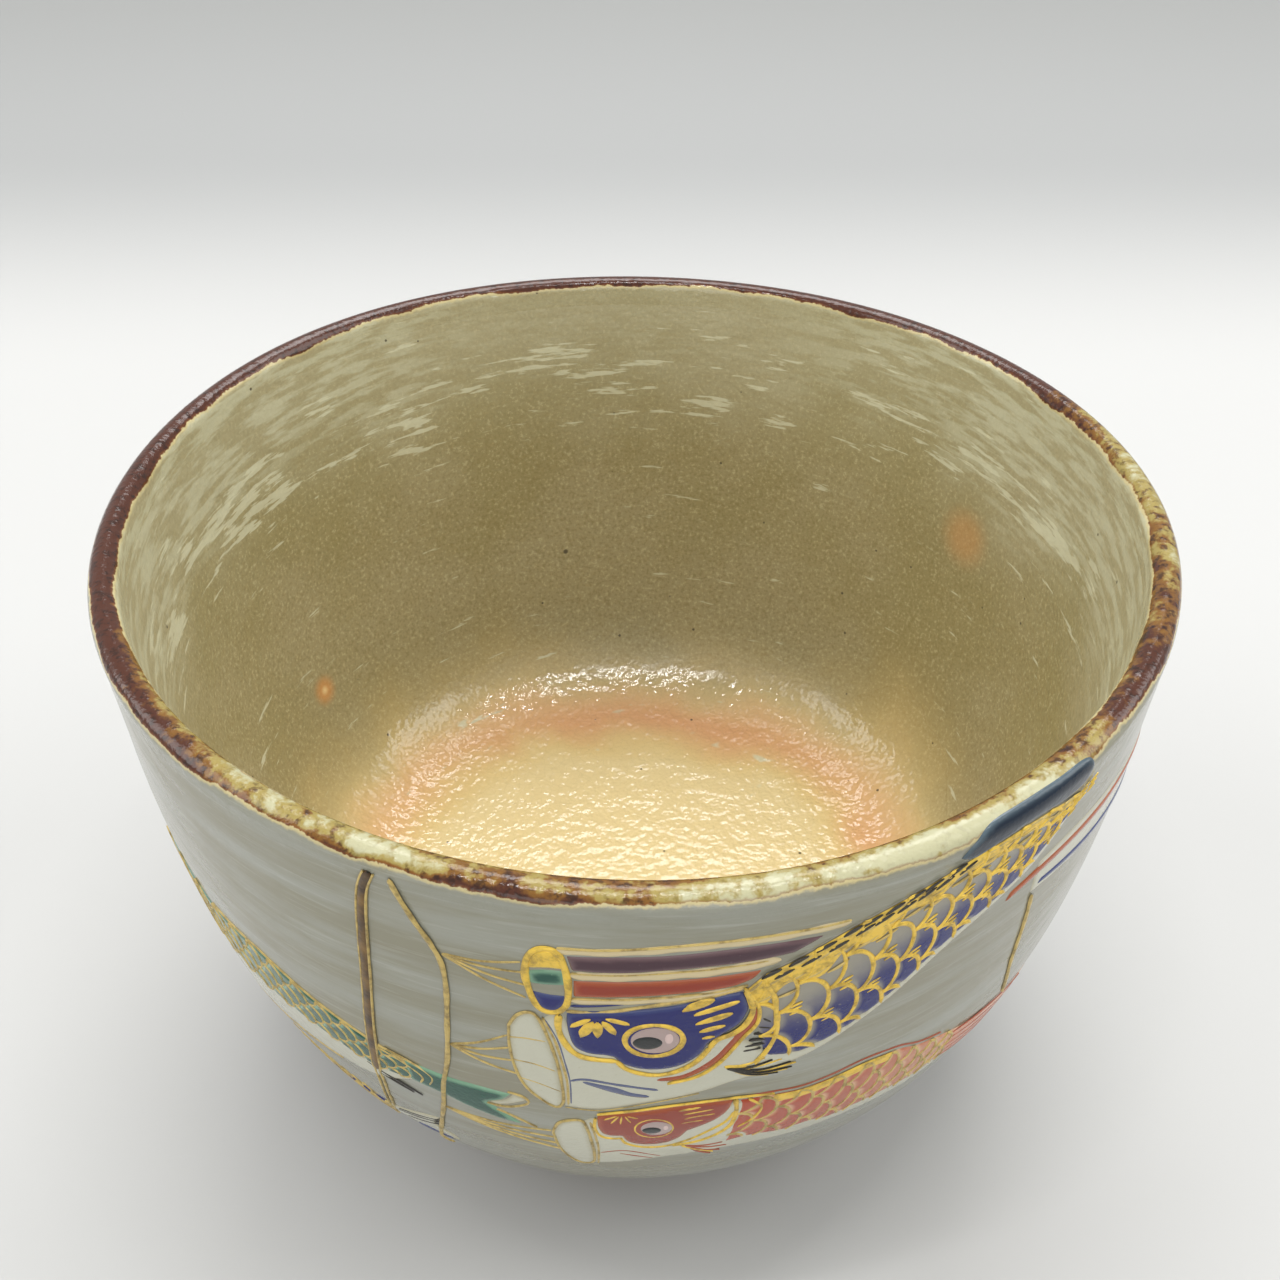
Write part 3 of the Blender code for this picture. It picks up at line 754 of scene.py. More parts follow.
band = outline(
    [(39.5, 15.6), (44.0, 14.4), (48.8, 13.9), (54.0, 13.6), (63.0, 13.7), (71.0, 15.2)], [(70.8, 16.6)],
    [(63.0, 15.1), (54.0, 15.0), (48.6, 15.2), (44.0, 15.8), (39.0, 16.9)], [])
painted("streamer_tail_red", [pool(band, deep=lambda spots, away: 0.25 * np.clip(away, 0, 1))],
        red, "streamer_red_tail")
band = outline(
    [(44.6, 17.3), (50.0, 17.4), (57.0, 17.9), (64.0, 18.9), (71.0, 20.6)], [(70.8, 21.9)],
    [(64.0, 20.2), (57.0, 19.1), (50.0, 18.6), (44.2, 18.2)], [])
painted("streamer_tail_blue", [pool(band, deep=lambda spots, away: 0.45 * np.clip(away, 0, 1))],
        blue, "streamer_navy_tail")
band = outline(
    [(43.0, 13.6), (48.0, 12.6), (56.0, 12.3), (64.0, 12.6), (71.5, 13.9)], [(70.6, 22.6)],
    [(64.0, 20.9), (57.0, 19.8), (50.0, 19.2), (43.4, 19.0)], [])
painted("streamer_tail_white", [pool(band, -0.05, 0.1)], white)

# ---- Blue carp -----------------------------------------------------------------------------
# The large carp: a white mouth and belly, a cobalt head, and scales filled one by one inside
# a net of gold. Its back is brushed over with gold and ends in a dark fin up on the lip.
BLUE_BACK = [
    (10.2, 15.2), (12.1, 12.9), (15.2, 11.2), (18.9, 9.0), (21.6, 7.8), (25.0, 6.6), (28.4, 5.5),
    (31.2, 4.8), (36.1, 4.3), (39.4, 4.3), (43.0, 4.9), (46.4, 5.8)]
BLUE_FLANK = [
    (13.2, 27.6), (16.7, 28.2), (20.0, 26.9), (23.0, 24.9), (26.3, 22.2), (28.5, 20.0), (31.2, 17.7),
    (33.8, 16.2), (36.6, 15.0), (39.6, 13.4), (42.4, 11.3), (44.8, 8.8), (46.8, 6.2)]


def scale_place(back, flank):
    """A carp's side as a place function: (along, across) from 0 to 1, from its gill to its
    tail and from its back to its flank, gives points on the wall, in millimetres."""
    top, low = (spaced(smooth_curve(edge, 8), count=400) for edge in (back, flank))
    share = np.linspace(0, 1, 400)

    def place(along, across):
        ends = [np.stack([np.interp(along, share, edge[:, k]) for k in (0, 1)], -1) for edge in (top, low)]
        return ends[0] + (ends[1] - ends[0]) * np.asarray(across)[..., None]

    return place, lengths_along((top + low) / 2)[-1]


def scale_rows(along, across, pitch, first, row):
    """Where a point is in its scale, from 0 at the root to 1 at the round free edge."""
    q = (across - first) / row
    edges = []
    for j in (np.floor(q), np.floor(q) + 1):
        bulge = pitch / 2 * np.sqrt(np.clip(1 - (q - j) ** 2, 0, 1))
        at = (along - bulge) / pitch - (j % 2) / 2
        edges.append(((np.ceil(at) - at) * pitch, (at - np.floor(at)) * pitch))
    ahead = np.minimum(edges[0][0], edges[1][0])
    behind = np.minimum(edges[0][1], edges[1][1])
    return behind / np.maximum(ahead + behind, 1e-6)


def scaly(back, flank, pitch, first, row, rise, shade, narrow=0.45):
    """A carp's side: a sheet of enamel that pools in each scale, and the net of gold arcs.
    Pitch is a scale's length, and the first row's and each row's share of the girth follow.
    Scales shorten to a share of their length, narrow, at the tail. Shade dims the pools."""
    place, length = scale_place(back, flank)
    long, wide = int(length / 0.22), 72
    s, t = np.meshgrid(np.linspace(0, 1, long), np.linspace(0, 1, wide), indexing="ij")

    def stretched(share):
        """Distance along in whole scales, closer together towards the tail."""
        return length * (share + (1 / narrow - 1) * share**2 / 2)

    inside = scale_rows(stretched(s), t, pitch, first, row)
    depth = np.clip((inside - 0.05) / 0.35, 0, 1) * np.clip((1.02 - inside) / 0.12, 0, 1)
    depth = depth * shade(s, t)
    edge = np.minimum.reduce([s * length, (1 - s) * length, t * 8, (1 - t) * 8]) / 0.4
    lift = -SUNK + (SUNK + rise * (0.45 + 0.55 * depth)) * np.sqrt(np.clip(edge, 0, 1))
    side = (place(s.ravel(), t.ravel()), lift.ravel(), depth.ravel(), grid_faces(long, wide))
    net = []
    inverse = np.linspace(0, 1, 600)
    whole = stretched(inverse)
    for j in range(-1, int(1 / row) + 2):
        for k in range(-1, int(whole[-1] / pitch) + 1):
            turn = np.linspace(-90, 90, 13) * math.pi / 180
            at = (k + (j % 2) / 2) * pitch + pitch / 2 * np.cos(turn)
            across = first + row * (j + np.sin(turn))
            keep = (across > -0.01) & (across < 1.01) & (at > 0) & (at < whole[-1])
            if keep.sum() >= 5:
                net.append((place(np.interp(at[keep], whole, inverse), across[keep]), across[keep].mean()))
    return side, net, place


BLUE_BELLY = [
    (-7.0, 36.4), (-3.3, 36.6), (1.8, 34.9), (6.9, 33.3), (9.9, 31.9), (13.5, 30.8), (16.0, 29.8),
    (18.9, 28.5), (22.4, 26.1), (25.9, 23.4), (28.5, 21.1), (31.2, 18.8), (33.6, 17.3), (38.6, 14.9),
    (42.0, 12.9), (45.0, 9.9), (47.2, 6.6)]
BLUE_MOUTH = [
    (-11.7, 22.3), (-10.7, 20.3), (-9.4, 19.5), (-8.6, 20.5), (-7.9, 23.5), (-7.3, 27.3), (-7.0, 31.4),
    (-7.0, 35.3), (-7.8, 36.7), (-9.3, 35.4), (-10.9, 32.8), (-11.7, 29.1), (-11.9, 25.3)]
BLUE_HEAD = outline(
    [(-5.9, 18.9), (-4.3, 18.3), (0.2, 17.6), (4.4, 16.8), (6.9, 15.9), (10.2, 15.4)],
    [(10.9, 18.1), (10.4, 20.4), (9.2, 21.9), (7.5, 23.6)],
    [(6.6, 25.9), (5.0, 27.5), (3.1, 28.2), (1.0, 28.1), (-0.8, 27.2), (-1.6, 26.0)],
    [(-2.4, 25.7), (-4.1, 25.5), (-5.4, 24.5), (-5.9, 22.5), (-6.0, 20.3)])


def oval(centre, size, count=20):
    turn = np.linspace(0, 2 * math.pi, count, endpoint=False)
    return np.stack([centre[0] + size[0] * np.cos(turn), centre[1] + size[1] * np.sin(turn)], -1)


def moved(points, shift, size):
    """The same points drawn at another place and size, from the nose of the large carp."""
    return (np.array(points) - (-12.0, 28.0)) * size + shift


def gilded_head(shift=(-12.0, 28.0), size=1.0):
    """The gold drawing on a head: lobed outline, gill, crest of petals, bars, eye ring."""
    lines = [
        ([(-6.6, 19.0), (-6.8, 21.0), (-6.5, 23.2), (-5.7, 25.1), (-4.6, 26.1), (-3.0, 26.4),
          (-1.3, 26.5)], 0.7),
        ([(-1.4, 26.4), (-0.6, 27.8), (1.0, 28.8), (2.8, 29.1), (4.7, 28.4), (6.4, 26.8), (7.6, 24.4)], 0.55),
        ([(7.5, 24.6), (8.2, 23.1), (9.6, 22.3), (10.8, 20.8), (11.3, 18.2), (10.4, 15.1)], 0.6),
        ([(10.2, 14.6), (11.7, 17.7), (11.9, 20.8), (10.7, 23.2), (9.7, 25.4), (8.4, 27.8), (6.4, 29.8),
          (3.6, 30.8)], 0.4),
        ([(12.1, 14.2), (13.2, 17.0), (13.6, 20.0), (13.9, 23.3), (13.2, 26.4), (12.2, 28.4)], 0.55),
    ]
    for tip, wide in (((-5.6, 20.7), 0.85), ((-4.7, 22.3), 1.15), ((-3.1, 22.2), 1.15), ((-1.4, 21.5), 1.1),
                      ((-0.1, 19.7), 0.85)):
        root = np.array((-3.0, 18.6)) + 0.25 * (np.array(tip) - (-3.0, 18.6))
        lines.append(([root, (root + tip) / 2, tip], (0.3, wide, wide, 0.7 * wide)))
    for start, end, wide in (((4.7, 17.5), (7.6, 15.9), 1.1), ((5.8, 18.3), (9.9, 16.6), 0.95),
                             ((6.0, 19.9), (9.4, 18.5), 0.95), ((6.4, 21.3), (8.8, 20.5), 0.75),
                             ((6.7, 22.5), (7.9, 22.3), 0.55)):
        lines.append(([start, np.add(start, end) / 2, end], (0.5 * wide, wide, wide, 0.6 * wide)))
    parts = [stroke(moved(points, shift, size), np.multiply(width, size), 0.22, 0.14)
             for points, width in lines]
    eye_ring = moved(oval((2.2, 22.6), (2.75, 2.8)), shift, size)
    return [*parts, stroke(eye_ring, 0.68 * size, 0.22, 0.16, ring=True)]


def eye_parts(shift=(-12.0, 28.0), size=1.0):
    iris = pool(moved(oval((2.3, 22.6), (2.4, 2.4)), shift, size), 0.24, 0.08, 0.4 * size,
                deep=lambda spots, away: np.full(len(spots), 0.42))
    glint = pool(moved(oval((3.6, 22.2), (0.5, 1.1)), shift, size), 0.3, 0.08, 0.3 * size,
                 deep=lambda spots, away: np.zeros(len(spots)))
    pupil = pool(moved(oval((1.6, 22.9), (1.5, 1.25)), shift, size), 0.3, 0.1, 0.3 * size,
                 deep=lambda spots, away: np.ones(len(spots)))
    return [iris, glint, pupil]


def whiskers(shift=(-12.0, 28.0), size=1.0):
    thin = moved([(-6.1, 30.9), (-4.5, 30.4), (-1.5, 31.1), (2.7, 32.2)], shift, size)
    thick = moved([(-4.8, 30.9), (-1.8, 32.2), (0.0, 33.1), (1.8, 33.5)], shift, size)
    return [stroke(thin, 0.4 * size, 0.14, 0.06),
            stroke(thick, np.multiply((0.3, 1.1, 1.0, 0.4), size), 0.14, 0.06)]


def fin_strokes(root, tips, width, over=0.12):
    """Strokes fanned out from a root, as for a fin, each a little bowed."""
    root = np.array(root, float)
    bent = [(root + tip) / 2 + (0.0, 0.12 * np.linalg.norm(np.subtract(tip, root))) for tip in tips]
    return [stroke([root, middle, tip], (width, width, 0.4 * width), over, 0.1)
            for middle, tip in zip(bent, tips)]


navy = enamel("dark navy enamel", "blue_enamel", shown(76, 90, 98), shown(20, 32, 46))
black = enamel("black line enamel", "black_enamel", shown(110, 100, 70), shown(42, 38, 30), 0.25)
rust = enamel("red brown line enamel", "red_enamel", shown(196, 150, 118), shown(150, 74, 48), 0.12, 0.8)
grey_blue = enamel("thin blue line enamel", "blue_enamel", shown(150, 152, 158), shown(88, 94, 120))
eye_black = enamel("eye enamel", "black_enamel", shown(200, 176, 170), shown(30, 34, 34), 0.08, 0.0)

whole_mouth = rounded(BLUE_MOUTH)
cheek = outline(
    [(-8.5, 20.6), (-7.6, 19.5), (-6.3, 19.0)],
    [(-5.0, 22.5), (-1.0, 25.0), (3.0, 26.8), (7.0, 24.6), (9.5, 22.6), (12.9, 26.2)],
    [(x - 0.5, y - 0.6) for x, y in BLUE_FLANK[1:]], [(46.3, 5.6), (47.2, 6.6)], BLUE_BELLY[::-1],
    [(-7.0, 36.4), (-7.0, 31.4), (-7.3, 27.3), (-7.9, 23.5)])
painted("blue_carp_white", [pool(whole_mouth, 0.0, 0.14), pool(cheek, 0.0, 0.12)], white,
        "blue_carp_mouth")
painted("blue_carp_head_enamel", [pool(BLUE_HEAD, 0.04, 0.2)], blue, "blue_carp_head")
painted("blue_carp_eye_enamel", eye_parts(), eye_black, "blue_carp_eye")
side, net, place = scaly(BLUE_BACK, BLUE_FLANK, 5.4, 0.02, 0.215, 0.2,
                         lambda s, t: np.clip((t - 0.32) * 2.4, 0, 1), 0.66)
washed_blue = enamel("washed cobalt enamel", "blue_enamel", shown(140, 136, 122), shown(4, 14, 90))
painted("blue_carp_scales_enamel", [side], washed_blue, "blue_carp_scales")
along = np.linspace(0, 1, 60)
wash_low = place(along, 0.25 + 0.05 * np.sin(along * 40) - 0.06 * along)
wash = np.concatenate([place(along, 0.02 + 0 * along), wash_low[::-1]])
painted("blue_carp_gold_wash", [pool(wash, 0.16, 0.06, soft=0.8)], gold)
streaks = []
for k in range(36):
    across = 0.04 + 0.06 * (k * 3 % 5)
    start = k / 38
    bowed = np.array([across, across + 0.012, across])
    bowed = place(np.array([start, start + 0.03, start + 0.06]), bowed)
    streaks.append(stroke(bowed, (0.12, 0.42, 0.15), 0.2, 0.07))
painted("blue_carp_gold_streaks", streaks, pale_gold)
scratches = []
for k, (points, across) in enumerate(net):
    middle = points[len(points) // 2]
    if across > 0.3 and len(points) > 9:
        for step in (-0.8, 0.0, 0.8):
            start = middle + (1.2, step * 0.8)
            end = start + (1.1, -0.55 + 0.1 * step)
            scratches.append(stroke([start, end], (0.12, 0.28, 0.1), 0.2, 0.05))
painted("blue_carp_gold_net", [stroke(points, 0.5 if across > 0.3 else 0.4, 0.16, 0.14, smooth=False)
                               for points, across in net] + scratches, gold)
painted("blue_carp_gold_lines", gilded_head() + fin_strokes(
    (9.2, 28.4), [(13.2, 27.8), (15.0, 28.6), (16.6, 29.9), (15.8, 30.8), (13.8, 31.2)], 0.45), gold)
painted("blue_carp_mouth_lines", [
    stroke(BLUE_MOUTH, 0.34, 0.1, 0.1, ring=True),
    stroke([(-8.3, 20.0), (-7.3, 23.5), (-6.7, 27.9), (-6.4, 31.3), (-6.5, 35.9)], 0.32, 0.1, 0.1),
    stroke([(-11.9, 24.3), (-10.2, 24.0), (-8.2, 24.1)], 0.25, 0.12, 0.05),
    stroke([(-11.7, 28.2), (-9.6, 28.4), (-7.5, 29.3)], 0.25, 0.12, 0.05),
    stroke([(-11.2, 31.4), (-9.4, 32.0), (-7.2, 33.2)], 0.2, 0.12, 0.05),
    stroke([(-6.9, 36.7), (-3.3, 36.9), (1.8, 35.2), (6.9, 33.5)], 0.15, 0.02, 0.05),
], pale_gold)
BACK_DASHES = [(12.6, 13.0), (15.0, 11.8), (17.5, 10.5), (19.9, 9.1), (21.7, 8.4), (23.8, 7.6),
               (25.8, 6.8), (27.6, 6.2), (30.0, 5.4)]
dashes = [((x - 0.9, y + 0.55), (x, y), (x + 0.9, y - 0.5)) for x, y in BACK_DASHES]
dashes += [[(x + 1.2, y + 0.35) for x, y in points] for points in dashes]
BARS = [
    ((10.9, 25.9), (12.6, 25.8)), ((11.0, 25.1), (12.9, 25.0)), ((11.3, 24.1), (13.1, 24.2)),
    ((11.7, 23.0), (13.3, 23.3)), ((12.1, 21.8), (13.3, 22.3)), ((12.4, 20.4), (13.2, 21.2)),
    ((5.6, 17.7), (8.6, 15.9)), ((6.1, 19.2), (9.0, 17.9)), ((6.4, 20.7), (8.7, 19.9)),
]
painted("blue_carp_black_lines", [
    *[stroke(points, (0.25, 0.5, 0.3), 0.26, 0.06) for points in dashes],
    *fin_strokes((9.4, 28.7), [(14.0, 28.3), (16.0, 29.4), (16.2, 30.4), (14.8, 31.0)], 0.3, 0.2),
    *[stroke(ends, 0.3, 0.12, 0.08) for ends in BARS],
], black)
painted("blue_carp_gill_line", [
    stroke([
        (11.5, 18.4), (11.5, 20.6), (10.4, 22.8), (9.5, 24.6), (8.5, 26.6), (7.0, 28.4), (5.0, 29.8),
        (2.6, 30.2),
    ], (0.5, 0.95, 1.1, 0.6), 0.12, 0.08),
], rust)
painted("blue_carp_whiskers", [
    *whiskers(),
    stroke([(-8.0, 20.3), (-7.0, 23.5), (-6.4, 27.9), (-6.1, 31.3), (-6.2, 35.6)], 0.22, 0.08, 0.06),
], grey_blue)
fin = rounded([
    (30.2, 4.0), (31.4, 2.4), (33.6, 1.2), (38.0, 1.0), (42.4, 1.1), (46.6, 1.3), (47.4, 2.6),
    (46.6, 4.4), (43.3, 4.6), (39.0, 4.0), (34.9, 4.4), (31.6, 4.9),
])
painted("blue_carp_back_fin_enamel", [pool(fin, 0.1, 0.14)], navy, "blue_carp_back_fin")

# ---- Red carp ------------------------------------------------------------------------------
# The small carp below, drawn the same way in iron red, which lies thinner than the blue, so
# its scales are washed out to pink towards the tail. The tail is streaked with orange.
RED_MOUTH = [
    (-8.7, 43.4), (-7.9, 40.8), (-6.6, 39.7), (-5.3, 39.6), (-4.8, 41.7), (-4.5, 45.7), (-4.4, 49.9),
    (-4.7, 53.2), (-6.2, 53.8), (-7.5, 51.8), (-8.4, 48.3)]
RED_HEAD = outline(
    [(-3.6, 38.4), (-2.4, 37.4), (0.0, 37.1), (3.0, 36.4), (4.9, 35.9), (7.9, 35.4), (10.6, 35.5)],
    [(10.4, 37.2), (9.7, 38.8), (8.4, 40.3), (6.1, 42.0)],
    [(5.2, 44.0), (3.6, 45.4), (1.4, 45.7), (-0.4, 44.8), (-1.1, 43.0)],
    [(-2.1, 43.1), (-3.2, 42.5), (-3.7, 40.5)])
RED_BACK = [
    (11.4, 35.9), (15.0, 36.1), (18.2, 36.4), (21.5, 36.0), (25.2, 35.4), (29.6, 35.9), (32.7, 37.4),
    (36.3, 38.6), (39.2, 39.7)]
RED_FLANK = [
    (10.4, 47.6), (13.5, 46.9), (17.6, 47.9), (20.6, 47.4), (23.4, 48.4), (26.0, 47.6), (28.6, 47.2),
    (31.0, 46.8), (33.7, 47.0), (36.6, 46.6), (39.0, 45.9)]
RED_BELLY = [
    (-4.7, 53.8), (-1.3, 52.9), (3.3, 51.2), (6.6, 50.6), (11.1, 50.2), (14.6, 50.4), (19.6, 50.7),
    (23.1, 50.2), (27.0, 49.6), (31.5, 49.2), (36.0, 48.6), (39.5, 47.4)]
orange = enamel("washed orange enamel", "red_enamel", shown(206, 168, 140), shown(190, 116, 74))
whole_mouth = rounded(RED_MOUTH)
cheek = outline(
    [(-5.1, 39.6), (-4.4, 38.9), (-3.6, 38.6)],
    [(-2.6, 41.0), (1.0, 43.5), (5.0, 42.0), (9.0, 38.0), (10.8, 36.2), (12.2, 36.4)],
    [(12.6, 44.0), (14.0, 46.2)], [(x, y - 0.7) for x, y in RED_FLANK[2:]],
    [(39.0, 45.2), (39.5, 47.4)], RED_BELLY[::-1],
    [(-4.7, 53.8), (-4.4, 49.9), (-4.5, 45.7), (-4.8, 41.7)])
painted("red_carp_white", [pool(whole_mouth, 0.0, 0.14), pool(cheek, 0.0, 0.12)], white,
        "red_carp_mouth")
painted("red_carp_head_enamel", [pool(RED_HEAD, 0.04, 0.18)], red, "red_carp_head")
painted("red_carp_eye_enamel", eye_parts((-7.9, 44.7), 0.74), eye_black, "red_carp_eye")
side, net, place = scaly(RED_BACK, RED_FLANK, 4.7, 0.02, 0.25, 0.16,
                         lambda s, t: np.clip(1.15 - 0.75 * s, 0, 1), 0.6)
washed_red = enamel("washed red enamel", "red_enamel", shown(204, 162, 124), shown(158, 60, 28))
painted("red_carp_scales_enamel", [side], washed_red, "red_carp_scales")
tail = outline(
    [(38.4, 39.6), (42.0, 40.6), (45.5, 41.7), (50.0, 43.8), (56.0, 46.4), (60.0, 47.0)],
    [(57.4, 50.0), (60.0, 54.0)], [(54.0, 52.4), (48.0, 49.8), (43.1, 47.9), (38.2, 46.3)], [])
painted("red_carp_tail_enamel", [pool(tail, 0.0, 0.14)], orange, "red_carp_tail")
painted(
    "red_carp_streaks",
    [
        stroke([
            (38.6, y), (43.0, y + 0.9 + 0.15 * k), (48.0, y + 2.2 + 0.3 * k), (55.0, y + 4.8 + 0.6 * k),
        ], (0.25, 0.5, 0.3, 0.15), 0.12, 0.06)
        for k, y in enumerate((40.0, 41.4, 42.9, 44.3, 45.6))] + [
        stroke([
            (11.2, 35.2), (15.0, 35.4), (18.2, 35.7), (21.5, 35.2), (25.2, 34.5), (29.6, 35.2),
            (32.7, 36.8), (36.3, 37.9),
        ], 0.25, 0.04, 0.06)] + [
        stroke([(-3.6, 48.9), (-0.6, 47.9), (3.3, 50.2)], (0.3, 0.35, 0.2), 0.1, 0.05),
        stroke([(-1.4, 48.9), (2.4, 50.9)], (0.2, 0.4, 0.2), 0.1, 0.05),
        *fin_strokes((6.1, 46.8), [(9.4, 51.4), (10.4, 50.4), (11.0, 48.6), (10.4, 47.2)], 0.4, 0.1)],
    rust)
red_gold = [
    ([(-3.8, 38.6), (-3.95, 41.0), (-3.4, 43.2), (-2.2, 43.8), (-1.1, 43.6)], 0.4),
    (
        [
            (-1.2, 43.5), (-0.6, 45.3), (1.4, 46.5), (4.0, 46.3), (6.5, 44.6), (8.3, 42.7), (10.1, 40.6),
            (10.9, 38.2)],
        0.4),
    ([(10.8, 35.5), (11.1, 38.2), (10.8, 41.5), (9.5, 43.9), (7.4, 45.6), (4.6, 46.4)], 0.6),
    ([(-3.6, 37.7), (0.0, 36.7), (4.9, 35.5), (10.6, 35.1), (15.0, 35.7)], 0.35),
    ([(4.9, 36.7), (6.3, 36.4), (7.2, 36.2)], 0.8), ([(5.4, 37.6), (7.0, 37.2), (8.6, 36.9)], 0.7),
    ([(5.6, 38.6), (7.0, 38.2), (8.8, 38.0)], 0.6), ([(5.3, 39.7), (6.4, 39.4), (7.6, 39.3)], 0.5)]
for tip in ((-2.9, 38.7), (-2.2, 39.5), (-1.2, 39.6), (-0.1, 39.2), (0.7, 38.2)):
    red_gold.append(([(-0.9 + 0.3 * (tip[0] + 0.9), 37.7), tip], (0.3, 0.65, 0.5)))
red_gold.append(([(5.6, 46.6), (7.4, 48.6), (9.6, 50.6)], 0.4))
painted("red_carp_gold_lines", [stroke(points, width, 0.12, 0.12) for points, width in red_gold] + [
    stroke(oval((2.4, 40.8), (2.05, 2.35)), 0.5, 0.12, 0.12, ring=True),
    stroke([(12.2, 35.8), (13.8, 38.0), (13.3, 40.6), (11.6, 42.6)], 0.4, 0.12, 0.12),
], gold)
painted(
    "red_carp_gold_net",
    [stroke(points, 0.42, 0.1, 0.12, smooth=False) for points, across in net] + [
        stroke(RED_MOUTH, 0.35, 0.08, 0.1, ring=True),
        stroke([(-4.4, 39.6), (-4.0, 43.3), (-3.8, 47.6), (-4.1, 53.5)], 0.35, 0.08, 0.1)],
    pale_gold)
back = smooth_curve([(15.0, 36.2), (18.2, 36.5), (21.5, 36.1), (25.2, 35.4), (29.0, 35.8)], 6)
painted("red_carp_gold_wash", [
    pool(np.concatenate([back, back[::-1] + (0.0, 1.7)]), 0.12, 0.06, soft=0.7),
], gold)

# ---- Green carp ----------------------------------------------------------------------------
# The carp on the left, in copper green over white, with its forked tail towards the front and
# its head round on the far side of the pole. Its scales are drawn in thin gold.
GREEN_BACK = [(-73.5, 28.4), (-64.0, 29.0), (-54.0, 30.6), (-46.0, 29.9), (-41.7, 30.3), (-35.5, 32.4),
              (-30.2, 34.0), (-24.3, 34.9)]
GREEN_FLANK = [(-73.5, 42.0), (-64.0, 41.2), (-56.0, 39.6), (-50.0, 39.4), (-44.0, 39.2), (-37.1, 39.4),
               (-30.4, 40.3), (-24.3, 38.9)]
GREEN_BELLY = [(-86.0, 43.4), (-80.0, 45.5), (-73.5, 46.2), (-64.0, 46.8), (-55.0, 46.5), (-46.5, 46.2),
               (-42.5, 45.9), (-36.6, 45.3), (-32.1, 44.4), (-28.3, 42.2), (-24.3, 39.2)]
GREEN_AT = ((-92.0, 36.0), 0.84)
side, net, place = scaly(GREEN_BACK, GREEN_FLANK, 4.6, 0.0, 0.25, 0.16,
                         lambda s, t: np.clip(0.45 + 0.55 * s - 0.3 * np.abs(t - 0.5), 0, 1), 0.7)
painted("green_carp_scales_enamel", [side], green, "green_carp_scales")
tail = outline(
    [(-24.8, 34.8), (-20.0, 35.2), (-16.1, 35.2), (-12.6, 35.5)], [(-13.6, 37.0), (-15.5, 38.3)],
    [(-13.7, 40.4), (-12.1, 42.4)], [(-14.4, 42.0), (-18.2, 40.7), (-20.7, 39.6), (-24.8, 39.0)], [])
painted("green_carp_tail_enamel", [pool(tail, 0.02, 0.16)], green, "green_carp_tail")
mouth = moved(BLUE_MOUTH, *GREEN_AT)
head = moved(BLUE_HEAD, *GREEN_AT)
cheek = outline(
    [
        (-73.5, 41.0), (-64.0, 40.2), (-56.0, 38.8), (-50.0, 38.6), (-44.0, 38.4), (-37.1, 38.6),
        (-30.4, 39.5), (-24.3, 38.2)],
    [(-24.3, 39.2)], GREEN_BELLY[::-1],
    [(-86.0, 43.4), (-87.9, 36.0), (-88.9, 30.0), (-86.6, 28.4), (-80.0, 32.0)])
fork = outline(
    [(-15.7, 38.3), (-13.4, 36.9), (-12.4, 35.4)], [(-10.9, 36.2), (-12.8, 37.8), (-14.2, 38.5)], [])
painted("green_carp_white", [
    pool(rounded(mouth), 0.0, 0.14), pool(cheek, 0.0, 0.12), pool(fork, -0.02, 0.12),
], white, "green_carp_mouth")
painted("green_carp_head_enamel", [pool(head, 0.04, 0.18)], green, "green_carp_head")
painted("green_carp_eye_enamel", eye_parts(*GREEN_AT), eye_black, "green_carp_eye")
painted(
    "green_carp_gold_lines",
    gilded_head(*GREEN_AT) + [stroke(mouth, 0.35, 0.08, 0.1, ring=True)] + [
        stroke(points, 0.3, 0.1, 0.1, smooth=False)
        for points, across in net] + [
        stroke([
            (-54.0, 30.3), (-46.0, 29.5), (-41.7, 29.9), (-35.5, 32.0), (-30.2, 33.6), (-27.0, 34.6),
        ], 0.4, 0.04),
        stroke([(-28.6, 34.6), (-25.2, 35.4), (-22.9, 37.0), (-23.4, 38.8)], 0.4, 0.12),
        stroke([(-27.2, 34.2), (-23.6, 34.9), (-21.6, 36.4), (-22.2, 38.4)], 0.3, 0.12),
        stroke([(-16.0, 38.5), (-13.4, 38.6), (-10.9, 37.0), (-11.3, 35.6), (-12.9, 35.1)], 0.3, 0.04),
        stroke([(-17.4, 38.6), (-13.6, 40.2), (-10.4, 42.8)], 0.3, 0.04),
        stroke([
            (-72.0, 46.6), (-64.0, 47.1), (-55.0, 46.8), (-46.5, 46.5), (-42.5, 46.2), (-36.6, 45.6),
        ], 0.2, 0.03)],
    pale_gold)
painted("green_carp_dark_strokes", [stroke(points, (0.15, 0.5, 0.2), 0.1, 0.06) for points in (
    [(-28.6, 41.0), (-26.2, 41.7), (-24.0, 42.6)], [(-29.4, 41.8), (-27.0, 42.4), (-25.2, 42.9)],
    [(-31.0, 40.4), (-28.6, 41.2), (-26.4, 41.7)])] + whiskers(*GREEN_AT), black)

